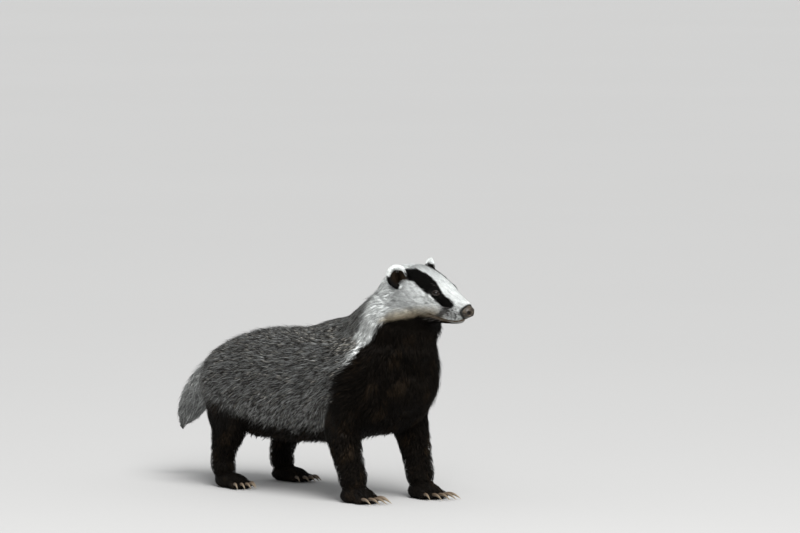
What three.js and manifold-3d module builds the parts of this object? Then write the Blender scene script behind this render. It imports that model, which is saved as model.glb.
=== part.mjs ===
// European badger at life size, standing on four feet with its head raised, turned to its left and dipped.
// Millimetres. +X runs from the rump to the chest, +Y to the animal's left, +Z up.
// The soles rest on the plane z = 0, and the origin is on that plane, under the middle of the whole animal.

import * as THREE from "three";
import { mergeVertices } from "three/addons/utils/BufferGeometryUtils.js";
import Module from "manifold-3d";

const wasm = await Module();
wasm.setup();

// Driving dimensions
const GAP = 0.3; // between neighbouring pieces
const WITHERS = 320; // height of the coat over the shoulders
const TRUNK = 540; // chest front to rump, over the coat
const TRUNK_HALF = 112; // half the greatest width of the trunk, over the coat
const CHEST_FRONT = 85; // how far the chest reaches ahead of the forelegs
const SKULL = 123; // ear hole to nose tip
const CROWN = 52; // height of the crown over the middle of the muzzle
const CHEEK = 60; // half the greatest width of the head
const EYE_RADIUS = 5.6;
const FORE_CLAW = 31;
const HIND_CLAW = 17;
const TAIL = 165;
const WRIST_HEIGHT = 34; // where each leg is parted from its paw
const COAT = 24; // depth of the long coat, from the skin to the tips of the hair
const LIMB_COAT = 14; // at the elbow and the knee
const FACE_COAT = 8; // where the neck meets the head

// The head's own place on the body, between the ear holes
const HEAD_PLACE = new THREE.Vector3(50, 15, 350);
const HEAD_TURN = THREE.MathUtils.degToRad(16.6); // to its left
const HEAD_DIP = THREE.MathUtils.degToRad(12); // nose down
const HEAD_TILT = THREE.MathUtils.degToRad(3.3); // left ear up

const BIG = 2000; // reach of a cutting block
const X = new THREE.Vector3(1, 0, 0);
const Z = new THREE.Vector3(0, 0, 1);
const SIDES = [
  { name: "left", sign: 1 },
  { name: "right", sign: -1 },
];

// Solids

// Turns a closed three.js geometry into a solid that can be joined and cut.
function solid(geometry) {
  const bare = geometry.clone();
  bare.deleteAttribute("normal");
  bare.deleteAttribute("uv");
  const merged = mergeVertices(bare, 1e-3);
  return new wasm.Manifold(
    new wasm.Mesh({
      numProp: 3,
      vertProperties: merged.attributes.position.array,
      triVerts: new Uint32Array(merged.index.array),
    }),
  );
}

// Gives a solid back as a geometry for a mesh.
function geometryOf(made) {
  const { vertProperties, triVerts } = made.getMesh();
  const geometry = new THREE.BufferGeometry();
  geometry.setAttribute("position", new THREE.BufferAttribute(vertProperties, 3));
  geometry.setIndex(new THREE.BufferAttribute(triVerts, 1));
  geometry.computeVertexNormals();
  return geometry;
}

function join(pieces) {
  return pieces.reduce((sum, piece) => sum.add(piece));
}

// The largest closed surface of a solid, which drops loose scraps and fills sealed hollows.
function largest(made) {
  return made.decompose().reduce((best, piece) => (piece.volume() > best.volume() ? piece : best));
}

// A block that fills the half space beyond a plane, on the side that its normal points to.
function beyond(point, normal) {
  const block = new THREE.BoxGeometry(BIG, BIG, BIG).translate(0, 0, BIG / 2);
  block.applyQuaternion(new THREE.Quaternion().setFromUnitVectors(Z, normal.clone().normalize()));
  return solid(block.translate(point.x, point.y, point.z));
}

// An egg or ball with three half lengths, turned by Euler angles and set at a place.
function ball(place, half, sidesRound = 12, rings = 8, turn = [0, 0, 0]) {
  const geometry = new THREE.SphereGeometry(1, sidesRound, rings);
  geometry.rotateX(Math.PI / 2);
  geometry.scale(...half);
  geometry.applyQuaternion(new THREE.Quaternion().setFromEuler(new THREE.Euler(...turn)));
  return geometry.translate(...place);
}

// Lofts

// A closed rounded body round a curved line of stations. Each station has its place (at), its half width
// (wide) and its half heights above and below that place (up, down). The first and last are its two tips.
// The surface is at the tips of the coat, whose depth goes from one value at the first tip to another.
class Loft {
  constructor(stations, reference, { power = 2, coat = [0, 0] } = {}) {
    const smooth = (points) => new THREE.CatmullRomCurve3(points, false, "catmullrom", 0.5);
    this.line = smooth(stations.map((s) => new THREE.Vector3(...s.at)));
    // Squared half sizes, so that each tip closes as a round cap
    this.sizes = smooth(stations.map((s) => new THREE.Vector3(s.wide ** 2, s.up ** 2, s.down ** 2)));
    this.reference = reference;
    this.power = 2 / power;
    this.coat = (share) => THREE.MathUtils.lerp(...coat, share);
  }

  // The surface point at a share of the line's length and an angle round it, grown outwards by a margin.
  point(share, angle, grow = 0) {
    const centre = this.line.getPoint(share);
    const along = this.line.getTangent(share);
    const up = this.reference.clone().addScaledVector(along, -this.reference.dot(along)).normalize();
    const side = along.clone().cross(up);
    if (share <= 0) return centre.addScaledVector(along, -grow);
    if (share >= 1) return centre.addScaledVector(along, grow);
    const size = this.sizes.getPoint(share);
    const half = (squared) => Math.sqrt(Math.max(0, squared)) + grow;
    const bend = (value) => Math.sign(value) * Math.abs(value) ** this.power;
    const rise = bend(Math.sin(angle));
    centre.addScaledVector(side, half(size.x) * bend(Math.cos(angle)));
    return centre.addScaledVector(up, rise * half(rise > 0 ? size.y : size.z));
  }

  geometry(sidesRound, rings, growAt) {
    const sphere = new THREE.SphereGeometry(1, sidesRound, rings);
    const position = sphere.getAttribute("position");
    for (let i = 0; i < position.count; i++) {
      const ring = Math.floor(i / (sidesRound + 1));
      const step = (i % (sidesRound + 1)) % sidesRound;
      const share = ring / rings;
      const spot = this.point(share, (step / sidesRound) * 2 * Math.PI, growAt(share));
      position.setXYZ(i, spot.x, spot.y, spot.z);
    }
    return sphere;
  }

  solid(sidesRound, rings, grow = 0) {
    return solid(this.geometry(sidesRound, rings, () => grow));
  }

  // The core under the locks, which takes the inner half of the coat's depth
  core(sidesRound, rings, grow = 0) {
    return solid(this.geometry(sidesRound, rings, (share) => grow - this.coat(share) / 2));
  }

  // The slopes of the surface along its line and round it, and the direction out of it
  frame({ share, angle }) {
    const step = 1e-3;
    const slope = (a, b) => b.sub(a).divideScalar(2 * step);
    const along = slope(this.point(share - step, angle), this.point(share + step, angle));
    const round = slope(this.point(share, angle - step), this.point(share, angle + step));
    return { along, round, out: along.clone().cross(round).normalize() };
  }

  // A place on the surface, moved by a vector that lies along the surface
  moved(place, vector) {
    const { along, round } = this.frame(place);
    const [a, b, c] = [along.dot(along), along.dot(round), round.dot(round)];
    const [u, v] = [vector.dot(along), vector.dot(round)];
    const scale = a * c - b * b;
    const share = THREE.MathUtils.clamp(place.share + (u * c - v * b) / scale, 0.01, 0.99);
    return { share, angle: place.angle + (v * a - u * b) / scale };
  }

  // The share of the line that is a distance further along it
  further(share, distance) {
    const step = 0.004;
    let left = distance;
    while (left > 0 && share < 1) {
      left -= this.line.getPoint(Math.min(1, share + step)).distanceTo(this.line.getPoint(share));
      share += step;
    }
    return share;
  }

  // Angles round the surface that are evenly far apart, near to a pitch, from half a pitch on where asked
  around(share, pitch, halfStep) {
    const samples = 96;
    const reach = [0];
    for (let i = 1; i <= samples; i++) {
      const [a, b] = [i - 1, i].map((n) => this.point(share, (n / samples) * 2 * Math.PI));
      reach.push(reach[i - 1] + a.distanceTo(b));
    }
    const count = Math.max(3, Math.round(reach[samples] / pitch));
    return Array.from({ length: count }, (_, i) => {
      const want = ((i + (halfStep ? 0.5 : 0)) / count) * reach[samples];
      const n = Math.max(1, reach.findIndex((value) => value >= want));
      return ((n - 1 + (want - reach[n - 1]) / (reach[n] - reach[n - 1])) / samples) * 2 * Math.PI;
    });
  }
}

// A station between a top and a bottom height, widest at a share of the way up.
function section(x, top, bottom, wide, y = 0, widest = 0.46) {
  const middle = bottom + widest * (top - bottom);
  return { at: [x, y, middle], wide, up: top - middle, down: middle - bottom };
}

function tip(...at) {
  return { at, wide: 0, up: 0, down: 0 };
}

// Trunk and neck

// Each row is a share of the trunk's length from the chest, then top, bottom and half width as shares.
const TRUNK_ROWS = [
  [0.034, 0.87, 0.46, 0.58],
  [0.093, 0.94, 0.4, 0.76],
  [0.157, 0.98, 0.353, 0.85],
  [0.25, 1.0, 0.331, 0.91],
  [0.343, 0.98, 0.295, 0.946],
  [0.454, 0.928, 0.27, 0.982],
  [0.565, 0.888, 0.258, 1.0],
  [0.676, 0.866, 0.258, 0.99],
  [0.787, 0.844, 0.285, 0.955],
  [0.88, 0.794, 0.356, 0.82],
  [0.954, 0.706, 0.438, 0.563],
];
const trunk = new Loft(
  [
    tip(CHEST_FRONT, 0, 0.66 * WITHERS),
    ...TRUNK_ROWS.map(([along, top, bottom, wide]) =>
      section(CHEST_FRONT - along * TRUNK, top * WITHERS, bottom * WITHERS, wide * TRUNK_HALF),
    ),
    tip(CHEST_FRONT - TRUNK, 0, 0.575 * WITHERS),
  ],
  Z,
  { power: 2.15, coat: [COAT, COAT] },
);

// The neck rises from deep inside the shoulders into the back of the head.
const neck = new Loft(
  [
    tip(-75, 0, 155),
    { at: [-55, 0, 190], wide: 74, up: 70, down: 74 },
    { at: [-28, 0, 232], wide: 86, up: 96, down: 112 },
    { at: [8, 4, 280], wide: 80, up: 84, down: 93 },
    { at: [38, 11, 326], wide: 68, up: 56, down: 66 },
    { at: [56, 17, 356], wide: 50, up: 40, down: 46 },
    tip(66, 20, 374),
  ],
  new THREE.Vector3(-0.85, 0, 0.53),
  { coat: [COAT, FACE_COAT] },
);

// The plane that parts neck and torso
const NECK_PLANE = {
  point: new THREE.Vector3(10, 0, 275),
  normal: new THREE.Vector3(0.53, 0, 0.85).normalize(),
};

// Upper limbs, which swell out of the trunk's sides
function shoulder(sign) {
  return new Loft(
    [
      tip(-14, sign * 55, 285),
      { at: [-14, sign * 60, 262], wide: 34, up: 40, down: 40 },
      { at: [-18, sign * 62, 215], wide: 40, up: 48, down: 52 },
      { at: [-24, sign * 66, 165], wide: 37, up: 42, down: 45 },
      { at: [-25, sign * 68, 125], wide: 29, up: 30, down: 32 },
      tip(-24, sign * 68, 106),
    ],
    X,
    { coat: [COAT, LIMB_COAT] },
  );
}

function thigh(sign) {
  return new Loft(
    [
      tip(-345, sign * 52, 232),
      { at: [-343, sign * 58, 212], wide: 40, up: 56, down: 50 },
      { at: [-338, sign * 65, 176], wide: 42, up: 72, down: 60 },
      { at: [-330, sign * 71, 140], wide: 40, up: 60, down: 60 },
      { at: [-336, sign * 75, 108], wide: 33, up: 38, down: 42 },
      tip(-342, sign * 76, 86),
    ],
    X,
    { coat: [COAT, LIMB_COAT] },
  );
}

const TRUNK_GRID = [19, 15];
const LIMB_TOP_GRID = [8, 7];
const NECK_GRID = [16, 9];

function torsoCore(grow = 0) {
  const limbs = SIDES.flatMap(({ sign }) => [shoulder(sign), thigh(sign)]);
  return join([
    trunk.core(...TRUNK_GRID, grow),
    ...limbs.map((limb) => limb.core(...LIMB_TOP_GRID, grow)),
  ]);
}

// Locks of the long coat

// From root to tip: height over the core as a share of the coat's outer half, then shares of the lock's width
// and thickness
const LOCK_RINGS = [
  { height: -0.6, wide: 0.8, thick: 1 },
  { height: 0.2, wide: 1, thick: 1 },
  { height: 0.6, wide: 0.74, thick: 0.8 },
  { height: 0.95, wide: 0, thick: 0 },
];
const BACK_LOCK = { long: 92, wide: 43, thick: 3, rows: 60, pitch: 46, stray: 0.1 };
const NECK_LOCK = { long: 74, wide: 36, thick: 3, rows: 36, pitch: 38, stray: 0.08 };
const TAIL_LOCK = { long: 74, wide: 34, thick: 2.6, rows: 46, pitch: 40, stray: 0.05 };
const BACKWARDS = new THREE.Vector3(-1, 0, -0.3);
const DOWN_NECK = new THREE.Vector3(-0.53, 0, -0.85);
const DOWN_TAIL = new THREE.Vector3(-0.65, 0, -0.76);
const ROOT_MARGIN = { neck: 22, torso: 6 }; // from the plane between neck and torso to the nearest lock roots
const ROW_REACH = { neck: [0.3, 0.9], torso: [0.025, 0.985], tail: [0.3, 0.8] }; // shares of each line
const SEED = 20;
// Stretches along the trunk, below a height, where the legs leave it and its hair is short
const LEG_ROOTS = [
  [-60, 90],
  [-390, -235],
];
const LEG_ROOT_TOP = 150;

// A repeatable draw between 0 and 1
let state = SEED;
function draw() {
  state = (state * 1664525 + 1013904223) % 4294967296;
  return state / 4294967296;
}

const vary = (share) => 1 + share * (2 * draw() - 1);

// The point of a core's mesh under a place on a loft, looking straight in
function onCore(core, loft, place, out) {
  const far = 90;
  const start = loft.point(place.share, place.angle).addScaledVector(out, far);
  const hit = new THREE.Raycaster(start, out.clone().negate()).intersectObject(core)[0];
  return hit?.point ?? null;
}

// Lays one lock from its root along the lie of the hair. Gives its rings, or null where it finds no core.
function layLock(core, loft, root, lie, size) {
  const step = (size.long * vary(0.14)) / (LOCK_RINGS.length - 1);
  const half = (size.wide / 2) * vary(0.1);
  const stray = size.stray * (2 * draw() - 1);
  let place = root;
  const rings = LOCK_RINGS.map(({ height, wide, thick }) => {
    const { out } = loft.frame(place);
    const along = lie.clone().addScaledVector(out, -lie.dot(out)).normalize().applyAxisAngle(out, stray);
    const spot = onCore(core, loft, place, out);
    spot?.addScaledVector(out, (height * loft.coat(place.share)) / 2);
    const ring = { spot, along, out, half: half * wide, thick: size.thick * thick };
    place = loft.moved(place, along.clone().multiplyScalar(step));
    return ring;
  });
  return rings.every(({ spot }) => spot) ? rings : null;
}

// How far the side corners of a three-sided cone reach sideways, as a share of its radius
const CORNER = Math.sin(Math.PI / 3);

// One lock as a thin tapered blade with a ridge on top, grown by a margin
function lockSolid(rings, grow = 0) {
  const last = rings.length - 1;
  const blade = new THREE.ConeGeometry(1, 1, 3, last);
  const position = blade.getAttribute("position");
  for (let i = 0; i < position.count; i++) {
    const share = position.getY(i) + 0.5;
    const { spot, along, out, half, thick } = rings[Math.round(share * last)];
    const side = along.clone().cross(out);
    const radius = Math.max(1e-6, 1 - share);
    const moved = spot.clone();
    moved.addScaledVector(side, (position.getX(i) / radius / CORNER) * (half + 2 * grow));
    moved.addScaledVector(out, (position.getZ(i) / radius) * (thick + 2 * grow));
    moved.addScaledVector(along, share > 0.99 ? 4 * grow : 0);
    position.setXYZ(i, moved.x, moved.y, moved.z);
  }
  return solid(blade);
}

// Rows of locks on a loft between two shares of its length, each row half a step round from the one before
function lockRows(core, loft, [from, to], lie, size, keep) {
  const locks = [];
  let row = 0;
  let share = from;
  while (share < to) {
    for (const angle of loft.around(share, size.pitch, row % 2 === 1)) {
      const place = { share: share + 0.012 * (2 * draw() - 1), angle: angle + 0.05 * (2 * draw() - 1) };
      if (keep(loft.point(place.share, place.angle))) locks.push(layLock(core, loft, place, lie, size));
    }
    share = loft.further(share, size.rows);
    row++;
  }
  return locks.filter((lock) => lock);
}

// Head, in its own frame: +X to the nose, origin between the ear holes at the height of the muzzle's middle

// Each row is a share of the skull's length ahead of the ear hole, then top, bottom and half width in shares.
const HEAD_ROWS = [
  [0.95, 0.2, -0.2, 0.18],
  [0.88, 0.32, -0.3, 0.28],
  [0.78, 0.4, -0.36, 0.34],
  [0.66, 0.52, -0.41, 0.41],
  [0.54, 0.68, -0.47, 0.51],
  [0.42, 0.83, -0.55, 0.64],
  [0.28, 0.95, -0.65, 0.83],
  [0.12, 1.02, -0.75, 0.96],
  [-0.06, 1.0, -0.77, 1.0],
  [-0.22, 0.93, -0.66, 0.9],
  [-0.36, 0.78, -0.48, 0.66],
];
const skull = new Loft(
  [
    tip(0.99 * SKULL, 0, 0),
    ...HEAD_ROWS.map(([ahead, top, bottom, wide]) =>
      section(ahead * SKULL, top * CROWN, bottom * CROWN, wide * CHEEK, 0, 0.44),
    ),
    tip(-0.46 * SKULL, 0, 0.16 * CROWN),
  ],
  Z,
  { power: 2.2 },
);

// The lower jaw hangs under the muzzle, a little narrower and shorter than the upper lip.
const JAW_ROWS = [
  [0.85, -0.16, -0.43, 0.18],
  [0.77, -0.16, -0.5, 0.26],
  [0.64, -0.18, -0.56, 0.33],
  [0.48, -0.22, -0.63, 0.42],
  [0.3, -0.3, -0.7, 0.5],
];
const jaw = new Loft(
  [
    tip(0.88 * SKULL, 0, -0.3 * CROWN),
    ...JAW_ROWS.map(([ahead, top, bottom, wide]) =>
      section(ahead * SKULL, top * CROWN, bottom * CROWN, wide * CHEEK, 0, 0.55),
    ),
    tip(0.1 * SKULL, 0, -0.55 * CROWN),
  ],
  Z,
  { power: 2.2 },
);

const EYE = { ahead: 61, rise: 22.5, depth: 1.6 };
const EAR = { ahead: -1, rise: 31.5, out: 8, wide: 17.5, tall: 19.5, deep: 12, wall: 4.5, floor: 2.5 };
const NOSE = { ahead: 110, rise: -0.5, half: [14, 14, 11.5] };
const SKULL_GRID = [24, 20];
const JAW_GRID = [12, 9];

// The point of the head's side at a distance ahead of the ear hole and at a height, found by halving.
function onSkull(ahead, rise, sign, outwards = 0) {
  const halve = (low, high, past) => {
    for (let i = 0; i < 40; i++) {
      const middle = (low + high) / 2;
      if (past(middle)) high = middle;
      else low = middle;
    }
    return low;
  };
  const share = halve(0, 1, (value) => skull.line.getPoint(value).x < ahead);
  const angle = halve(-Math.PI / 2, Math.PI / 2, (value) => skull.point(share, value).z > rise);
  const spot = skull.point(share, angle, outwards);
  return [spot.x, sign * spot.y, spot.z];
}

// The upper lip's rim, a soft ridge from under the nose back to the corner of the mouth
function lipRim(sign, grow = 0) {
  const route = [
    [108, -9],
    [98, -12],
    [86, -15],
    [74, -17],
    [62, -18],
  ];
  const ridge = { wide: 3, up: 4, down: 3.6 };
  return new Loft(
    [
      tip(114, 0, -8),
      ...route.map(([ahead, rise]) => ({ at: onSkull(ahead, rise, sign, -1.5), ...ridge })),
      tip(...onSkull(48, -14, sign, -1.5)),
    ],
    Z,
  ).solid(6, 9, grow);
}

// Upper and lower lid in one almond ring round the eye, sunk into the head
function lids(sign, grow) {
  const ring = new THREE.TorusGeometry(6.2, 2.2 + grow, 4, 12);
  ring.scale(1.28, 1.02, 1.1);
  ring.applyQuaternion(eyeTurn(sign));
  return solid(ring.translate(...eyeSpot(sign, -0.4)));
}

function eyeSpot(sign, outwards = 0) {
  const direction = new THREE.Vector3(0, 0, 1).applyQuaternion(eyeTurn(sign));
  return onSkull(EYE.ahead, EYE.rise, sign).map((value, i) => value + outwards * direction.getComponent(i));
}

// Turns +Z to the way that an eye looks: out, a little forward and up.
function eyeTurn(sign) {
  const look = new THREE.Vector3(0.42, sign * 0.84, 0.34).normalize();
  const along = X.clone().addScaledVector(look, -look.x).normalize();
  const across = look.clone().cross(along);
  return new THREE.Quaternion().setFromRotationMatrix(new THREE.Matrix4().makeBasis(along, across, look));
}

function eyeball(sign, grow = 0) {
  return solid(ball(eyeSpot(sign, -EYE.depth), Array(3).fill(EYE_RADIUS + grow), 12, 8));
}

function nosePad(grow = 0) {
  const half = NOSE.half.map((value) => value + grow);
  return solid(ball([NOSE.ahead, 0, NOSE.rise], half, 12, 8));
}

// Two comma-shaped nostrils, each a slanted pit that opens forwards and sideways
function nostrils() {
  return join(
    SIDES.map(({ sign }) =>
      join([
        solid(ball([NOSE.ahead + 8, sign * 6.2, NOSE.rise + 0.6], [5, 2.6, 3], 6, 4, [0, 0, sign * 0.5])),
        solid(ball([NOSE.ahead + 3.5, sign * 10.5, NOSE.rise - 1], [5, 3.6, 1.5], 6, 4, [sign * 0.4, 0, 0])),
      ]),
    ),
  );
}

function headFlesh(grow = 0) {
  return join([
    skull.solid(...SKULL_GRID, grow),
    ...SIDES.flatMap(({ sign }) => [lids(sign, grow), lipRim(sign, grow)]),
  ]);
}

// A rounded ear: a shallow cup that opens forwards and outwards, rooted in the side of the crown
function earCup(sign) {
  const place = onSkull(EAR.ahead, EAR.rise, sign, EAR.out);
  const turn = [sign * -0.5, -0.34, sign * 0.62, "ZXY"];
  const rim = new THREE.Euler(...turn);
  const opening = new THREE.Vector3(1, 0, 0).applyEuler(rim);
  const outer = solid(ball(place, [EAR.deep, EAR.wide, EAR.tall], 12, 8, turn));
  const inset = place.map((value, i) => value + opening.getComponent(i) * (EAR.wall + 3));
  const hollow = [EAR.deep + 3, EAR.wide - EAR.wall + 1, EAR.tall - EAR.wall + 1];
  const inner = solid(ball(inset, hollow, 10, 7, turn));
  const rimPoint = new THREE.Vector3(...place).addScaledVector(opening, 2);
  const hollowed = inner.subtract(skull.solid(...SKULL_GRID, EAR.floor));
  return outer.subtract(hollowed).subtract(beyond(rimPoint, opening));
}

// Legs and paws

// Each leg runs from inside the torso down into its paw: place, half width and half depths.
const LEGS = {
  fore: {
    stations: (sign, step) => [
      tip(-24 + step, sign * 66, 185),
      { at: [-24 + step, sign * 67, 165], wide: 28, up: 32, down: 34 },
      { at: [-24 + step, sign * 69, 128], wide: 29, up: 32, down: 37 },
      { at: [-14 + step, sign * 70, 90], wide: 27, up: 29, down: 30 },
      { at: [-4 + step, sign * 69, 58], wide: 25, up: 26, down: 25 },
      { at: [2 + step, sign * 68, 34], wide: 25, up: 26, down: 23 },
      tip(4 + step, sign * 68, 12),
    ],
    paw: { ahead: 14, out: 68, half: [36, 26, 17], toe: [13, 7.2, 8.2], claw: FORE_CLAW, turn: -0.06 },
  },
  hind: {
    stations: (sign, step) => [
      tip(-335 + step, sign * 74, 160),
      { at: [-336 + step, sign * 75, 140], wide: 30, up: 38, down: 40 },
      { at: [-340 + step, sign * 76, 108], wide: 29, up: 36, down: 36 },
      { at: [-354 + step, sign * 75, 76], wide: 24, up: 28, down: 26 },
      { at: [-362 + step, sign * 74, 48], wide: 22, up: 23, down: 21 },
      { at: [-360 + step, sign * 74, 30], wide: 22, up: 24, down: 20 },
      tip(-358 + step, sign * 74, 10),
    ],
    paw: { ahead: -338, out: 74, half: [42, 23, 15], toe: [12, 6.4, 7.4], claw: HIND_CLAW, turn: 0.1 },
  },
};
const STEP = { fore_left: 4, fore_right: -10, hind_left: -14, hind_right: 8 };
const TAIL_GRID = [12, 8];
const TOES = 5;
const LEG_GRID = [11, 8];

// Places of the five toes, fanned across the front of a paw. The inner toe is set back.
function toeSpots(paw, sign) {
  return Array.from({ length: TOES }, (_, i) => {
    const share = i / (TOES - 1) - 0.5; // from the inner toe to the outer one
    const spread = share * 2 * (paw.half[1] - paw.toe[1] * 0.75);
    const back = 15 * share ** 2 * (share < 0 ? 3.4 : 2);
    return { x: paw.half[0] - 4 - back, y: sign * spread, fan: sign * share * 0.5, inner: i === 0 };
  });
}

// A paw at the origin, pointing along +X, with its sole on z = 0
function pawShape(paw, sign, grow = 0) {
  const pad = solid(ball([0, 0, 11], paw.half.map((value) => value + grow), 10, 5));
  const toes = toeSpots(paw, sign).map(({ x, y, fan }) =>
    solid(ball([x, y, 6.8], paw.toe.map((value) => value + grow), 6, 4, [0, 0, fan])),
  );
  return join([pad, ...toes]);
}

// A claw at a toe's end, curved down and tapered to its point, flatter from side to side
function clawShape(paw, toe) {
  const length = paw.claw * (toe.inner ? 0.8 : 1);
  const start = new THREE.Vector3(toe.x + paw.toe[0] * 0.55, toe.y, 8.5);
  const forward = new THREE.Vector3(Math.cos(toe.fan), Math.sin(toe.fan), 0);
  const spot = (share) => {
    const place = start.clone().addScaledVector(forward, share * length);
    place.z += 2.2 * Math.sin(share * Math.PI) - 5 * share ** 2;
    return place.toArray();
  };
  const station = (share, size) => ({ at: spot(share), wide: 2.3 * size, up: 3 * size, down: 2.8 * size });
  const stations = [tip(...spot(-0.1)), station(0.12, 1), station(0.55, 0.8), tip(...spot(1.12))];
  return new Loft(stations, Z).solid(5, 4);
}

function placePaw(made, paw, sign, step) {
  const turn = THREE.MathUtils.radToDeg(paw.turn * sign);
  return made.rotate([0, 0, turn]).translate([paw.ahead + step, sign * paw.out, 0]);
}

// Tail

const tail = new Loft(
  [
    tip(-425, 0, 214),
    { at: [-440, 0, 204], wide: 26, up: 25, down: 25 },
    { at: [-470, 0, 184], wide: 30, up: 28, down: 27 },
    { at: [-510, 0, 150], wide: 31, up: 26, down: 28 },
    { at: [-543, 0, 112], wide: 21, up: 18, down: 20 },
    tip(-440 - TAIL * 0.75, 0, 78),
  ],
  Z,
  { coat: [COAT, 0.7 * COAT] },
);

// Assembly

const badger = new THREE.Group();
const headGroup = new THREE.Group();
headGroup.position.copy(HEAD_PLACE);
headGroup.rotation.set(HEAD_TILT, HEAD_DIP, HEAD_TURN, "ZYX");
headGroup.updateMatrix();
badger.add(headGroup);

const FINISH = {
  coat: { color: 0x8d8c88, roughness: 0.9 },
  face: { color: 0xe6e4dc, roughness: 0.85 },
  black_fur: { color: 0x1a1613, roughness: 0.85 },
  nose: { color: 0x3a3032, roughness: 0.45 },
  eye: { color: 0x0b0908, roughness: 0.08 },
  claw: { color: 0x5b5146, roughness: 0.5 },
};

function addNode(group, name, made, finish) {
  const material = new THREE.MeshStandardMaterial({ ...FINISH[finish], metalness: 0 });
  const mesh = new THREE.Mesh(geometryOf(largest(made)), material);
  mesh.name = name;
  group.add(mesh);
}

// A solid of the head's frame, carried into the body's frame
function ontoBody(made) {
  return solid(geometryOf(made).applyMatrix4(headGroup.matrix));
}

function addHead() {
  const ears = SIDES.map(({ sign }) => earCup(sign));
  const head = headFlesh();
  const sockets = join([...SIDES.map(({ sign }) => eyeball(sign, GAP)), nosePad(GAP)]);
  addNode(headGroup, "head", head.subtract(sockets), "face");
  addNode(headGroup, "lower_jaw", jaw.solid(...JAW_GRID).subtract(headRoom()), "face");
  addNode(headGroup, "nose", nosePad().subtract(nostrils()), "nose");
  SIDES.forEach(({ name, sign }, i) => {
    addNode(headGroup, `eye_${name}`, eyeball(sign), "eye");
    addNode(headGroup, `ear_${name}`, ears[i].subtract(headRoom()), "black_fur");
  });
}

// The head with a margin, which its neighbours are cut back from
function headRoom() {
  return headFlesh(GAP).add(nosePad(GAP));
}

function addTrunk() {
  const { point, normal } = NECK_PLANE;
  const above = beyond(point.clone().addScaledVector(normal, GAP / 2), normal);
  const below = beyond(point.clone().addScaledVector(normal, -GAP / 2), normal.clone().negate());
  const flesh = torsoCore().add(neck.core(...NECK_GRID));
  const core = new THREE.Mesh(geometryOf(flesh));
  const overPlane = (spot) => spot.clone().sub(point).dot(normal);
  const onNeck = (spot) => overPlane(spot) > ROOT_MARGIN.neck;

  const neckLocks = lockRows(core, neck, ROW_REACH.neck, DOWN_NECK, NECK_LOCK, onNeck);
  const atLeg = ({ x, z }) => z < LEG_ROOT_TOP && LEG_ROOTS.some(([low, high]) => x > low && x < high);
  const onTrunk = (spot) => overPlane(spot) < -ROOT_MARGIN.torso && !atLeg(spot);
  const torsoLocks = lockRows(core, trunk, ROW_REACH.torso, BACKWARDS, BACK_LOCK, onTrunk);
  const jawRoom = jaw.solid(...JAW_GRID, GAP);
  const fleshBelow = torsoCore(GAP).add(neck.core(...NECK_GRID, GAP)).intersect(below);
  const neckHair = join(neckLocks.map((lock) => lockSolid(lock)));
  const neckSolid = flesh.intersect(above).add(neckHair).subtract(fleshBelow);
  const torsoSolid = join([flesh, ...torsoLocks.map((lock) => lockSolid(lock))]).intersect(below);
  addNode(badger, "neck", neckSolid.subtract(ontoBody(headRoom().add(jawRoom))), "black_fur");
  const torso = largest(torsoSolid.subtract(join(neckLocks.map((lock) => lockSolid(lock, GAP)))));
  addNode(badger, "torso", torso, "coat");

  const tailMesh = new THREE.Mesh(geometryOf(tail.core(...TAIL_GRID)));
  const tailLocks = lockRows(tailMesh, tail, ROW_REACH.tail, DOWN_TAIL, TAIL_LOCK, () => true);
  const room = join([torso, torsoCore(GAP), ...torsoLocks.map((lock) => lockSolid(lock, GAP))]);
  const tailSolid = join([tail.core(...TAIL_GRID), ...tailLocks.map((lock) => lockSolid(lock))]);
  addNode(badger, "tail", tailSolid.subtract(room), "coat");
  return room;
}

function addLegs(room) {
  const above = beyond(new THREE.Vector3(0, 0, WRIST_HEIGHT + GAP / 2), Z);
  const below = beyond(new THREE.Vector3(0, 0, WRIST_HEIGHT - GAP / 2), Z.clone().negate());
  const floor = beyond(new THREE.Vector3(0, 0, 0), Z.clone().negate());
  for (const [end, { stations, paw }] of Object.entries(LEGS))
    for (const { name, sign } of SIDES) {
      const step = STEP[`${end}_${name}`];
      const leg = new Loft(stations(sign, step), X).solid(...LEG_GRID);
      const foot = placePaw(pawShape(paw, sign), paw, sign, step);
      const footRoom = placePaw(pawShape(paw, sign, GAP), paw, sign, step);
      const limb = leg.add(foot).subtract(floor);
      addNode(badger, `${end}leg_${name}`, limb.intersect(above).subtract(room), "black_fur");
      addNode(badger, `${end}paw_${name}`, limb.intersect(below), "black_fur");
      toeSpots(paw, sign).forEach((toe, i) => {
        const claw = placePaw(clawShape(paw, toe), paw, sign, step);
        addNode(badger, `${end}claw_${name}_${i + 1}`, claw.subtract(footRoom), "claw");
      });
    }
}

addHead();
addLegs(addTrunk());

// The origin goes under the middle of the whole animal.
badger.updateMatrixWorld(true);
const reach = new THREE.Box3().setFromObject(badger, true);
const middle = reach.getCenter(new THREE.Vector3());
badger.position.set(-middle.x, -middle.y, -reach.min.z);

export default badger;
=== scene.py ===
"""A European badger at life size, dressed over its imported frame: one skin, a coat of solid tufts, eyes, nose,
claws and whiskers. Shapes are worked out in millimetres in the badger's own frame, where +X runs from the
rump to the chest, +Y is the animal's left and +Z is up, and go into the row's metres when a mesh is made."""

import logging
import math
from dataclasses import dataclass, field, replace
from enum import Enum

import bmesh
import bpy
import numpy as np
from mathutils import Matrix, Vector
from mathutils.bvhtree import BVHTree


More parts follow.
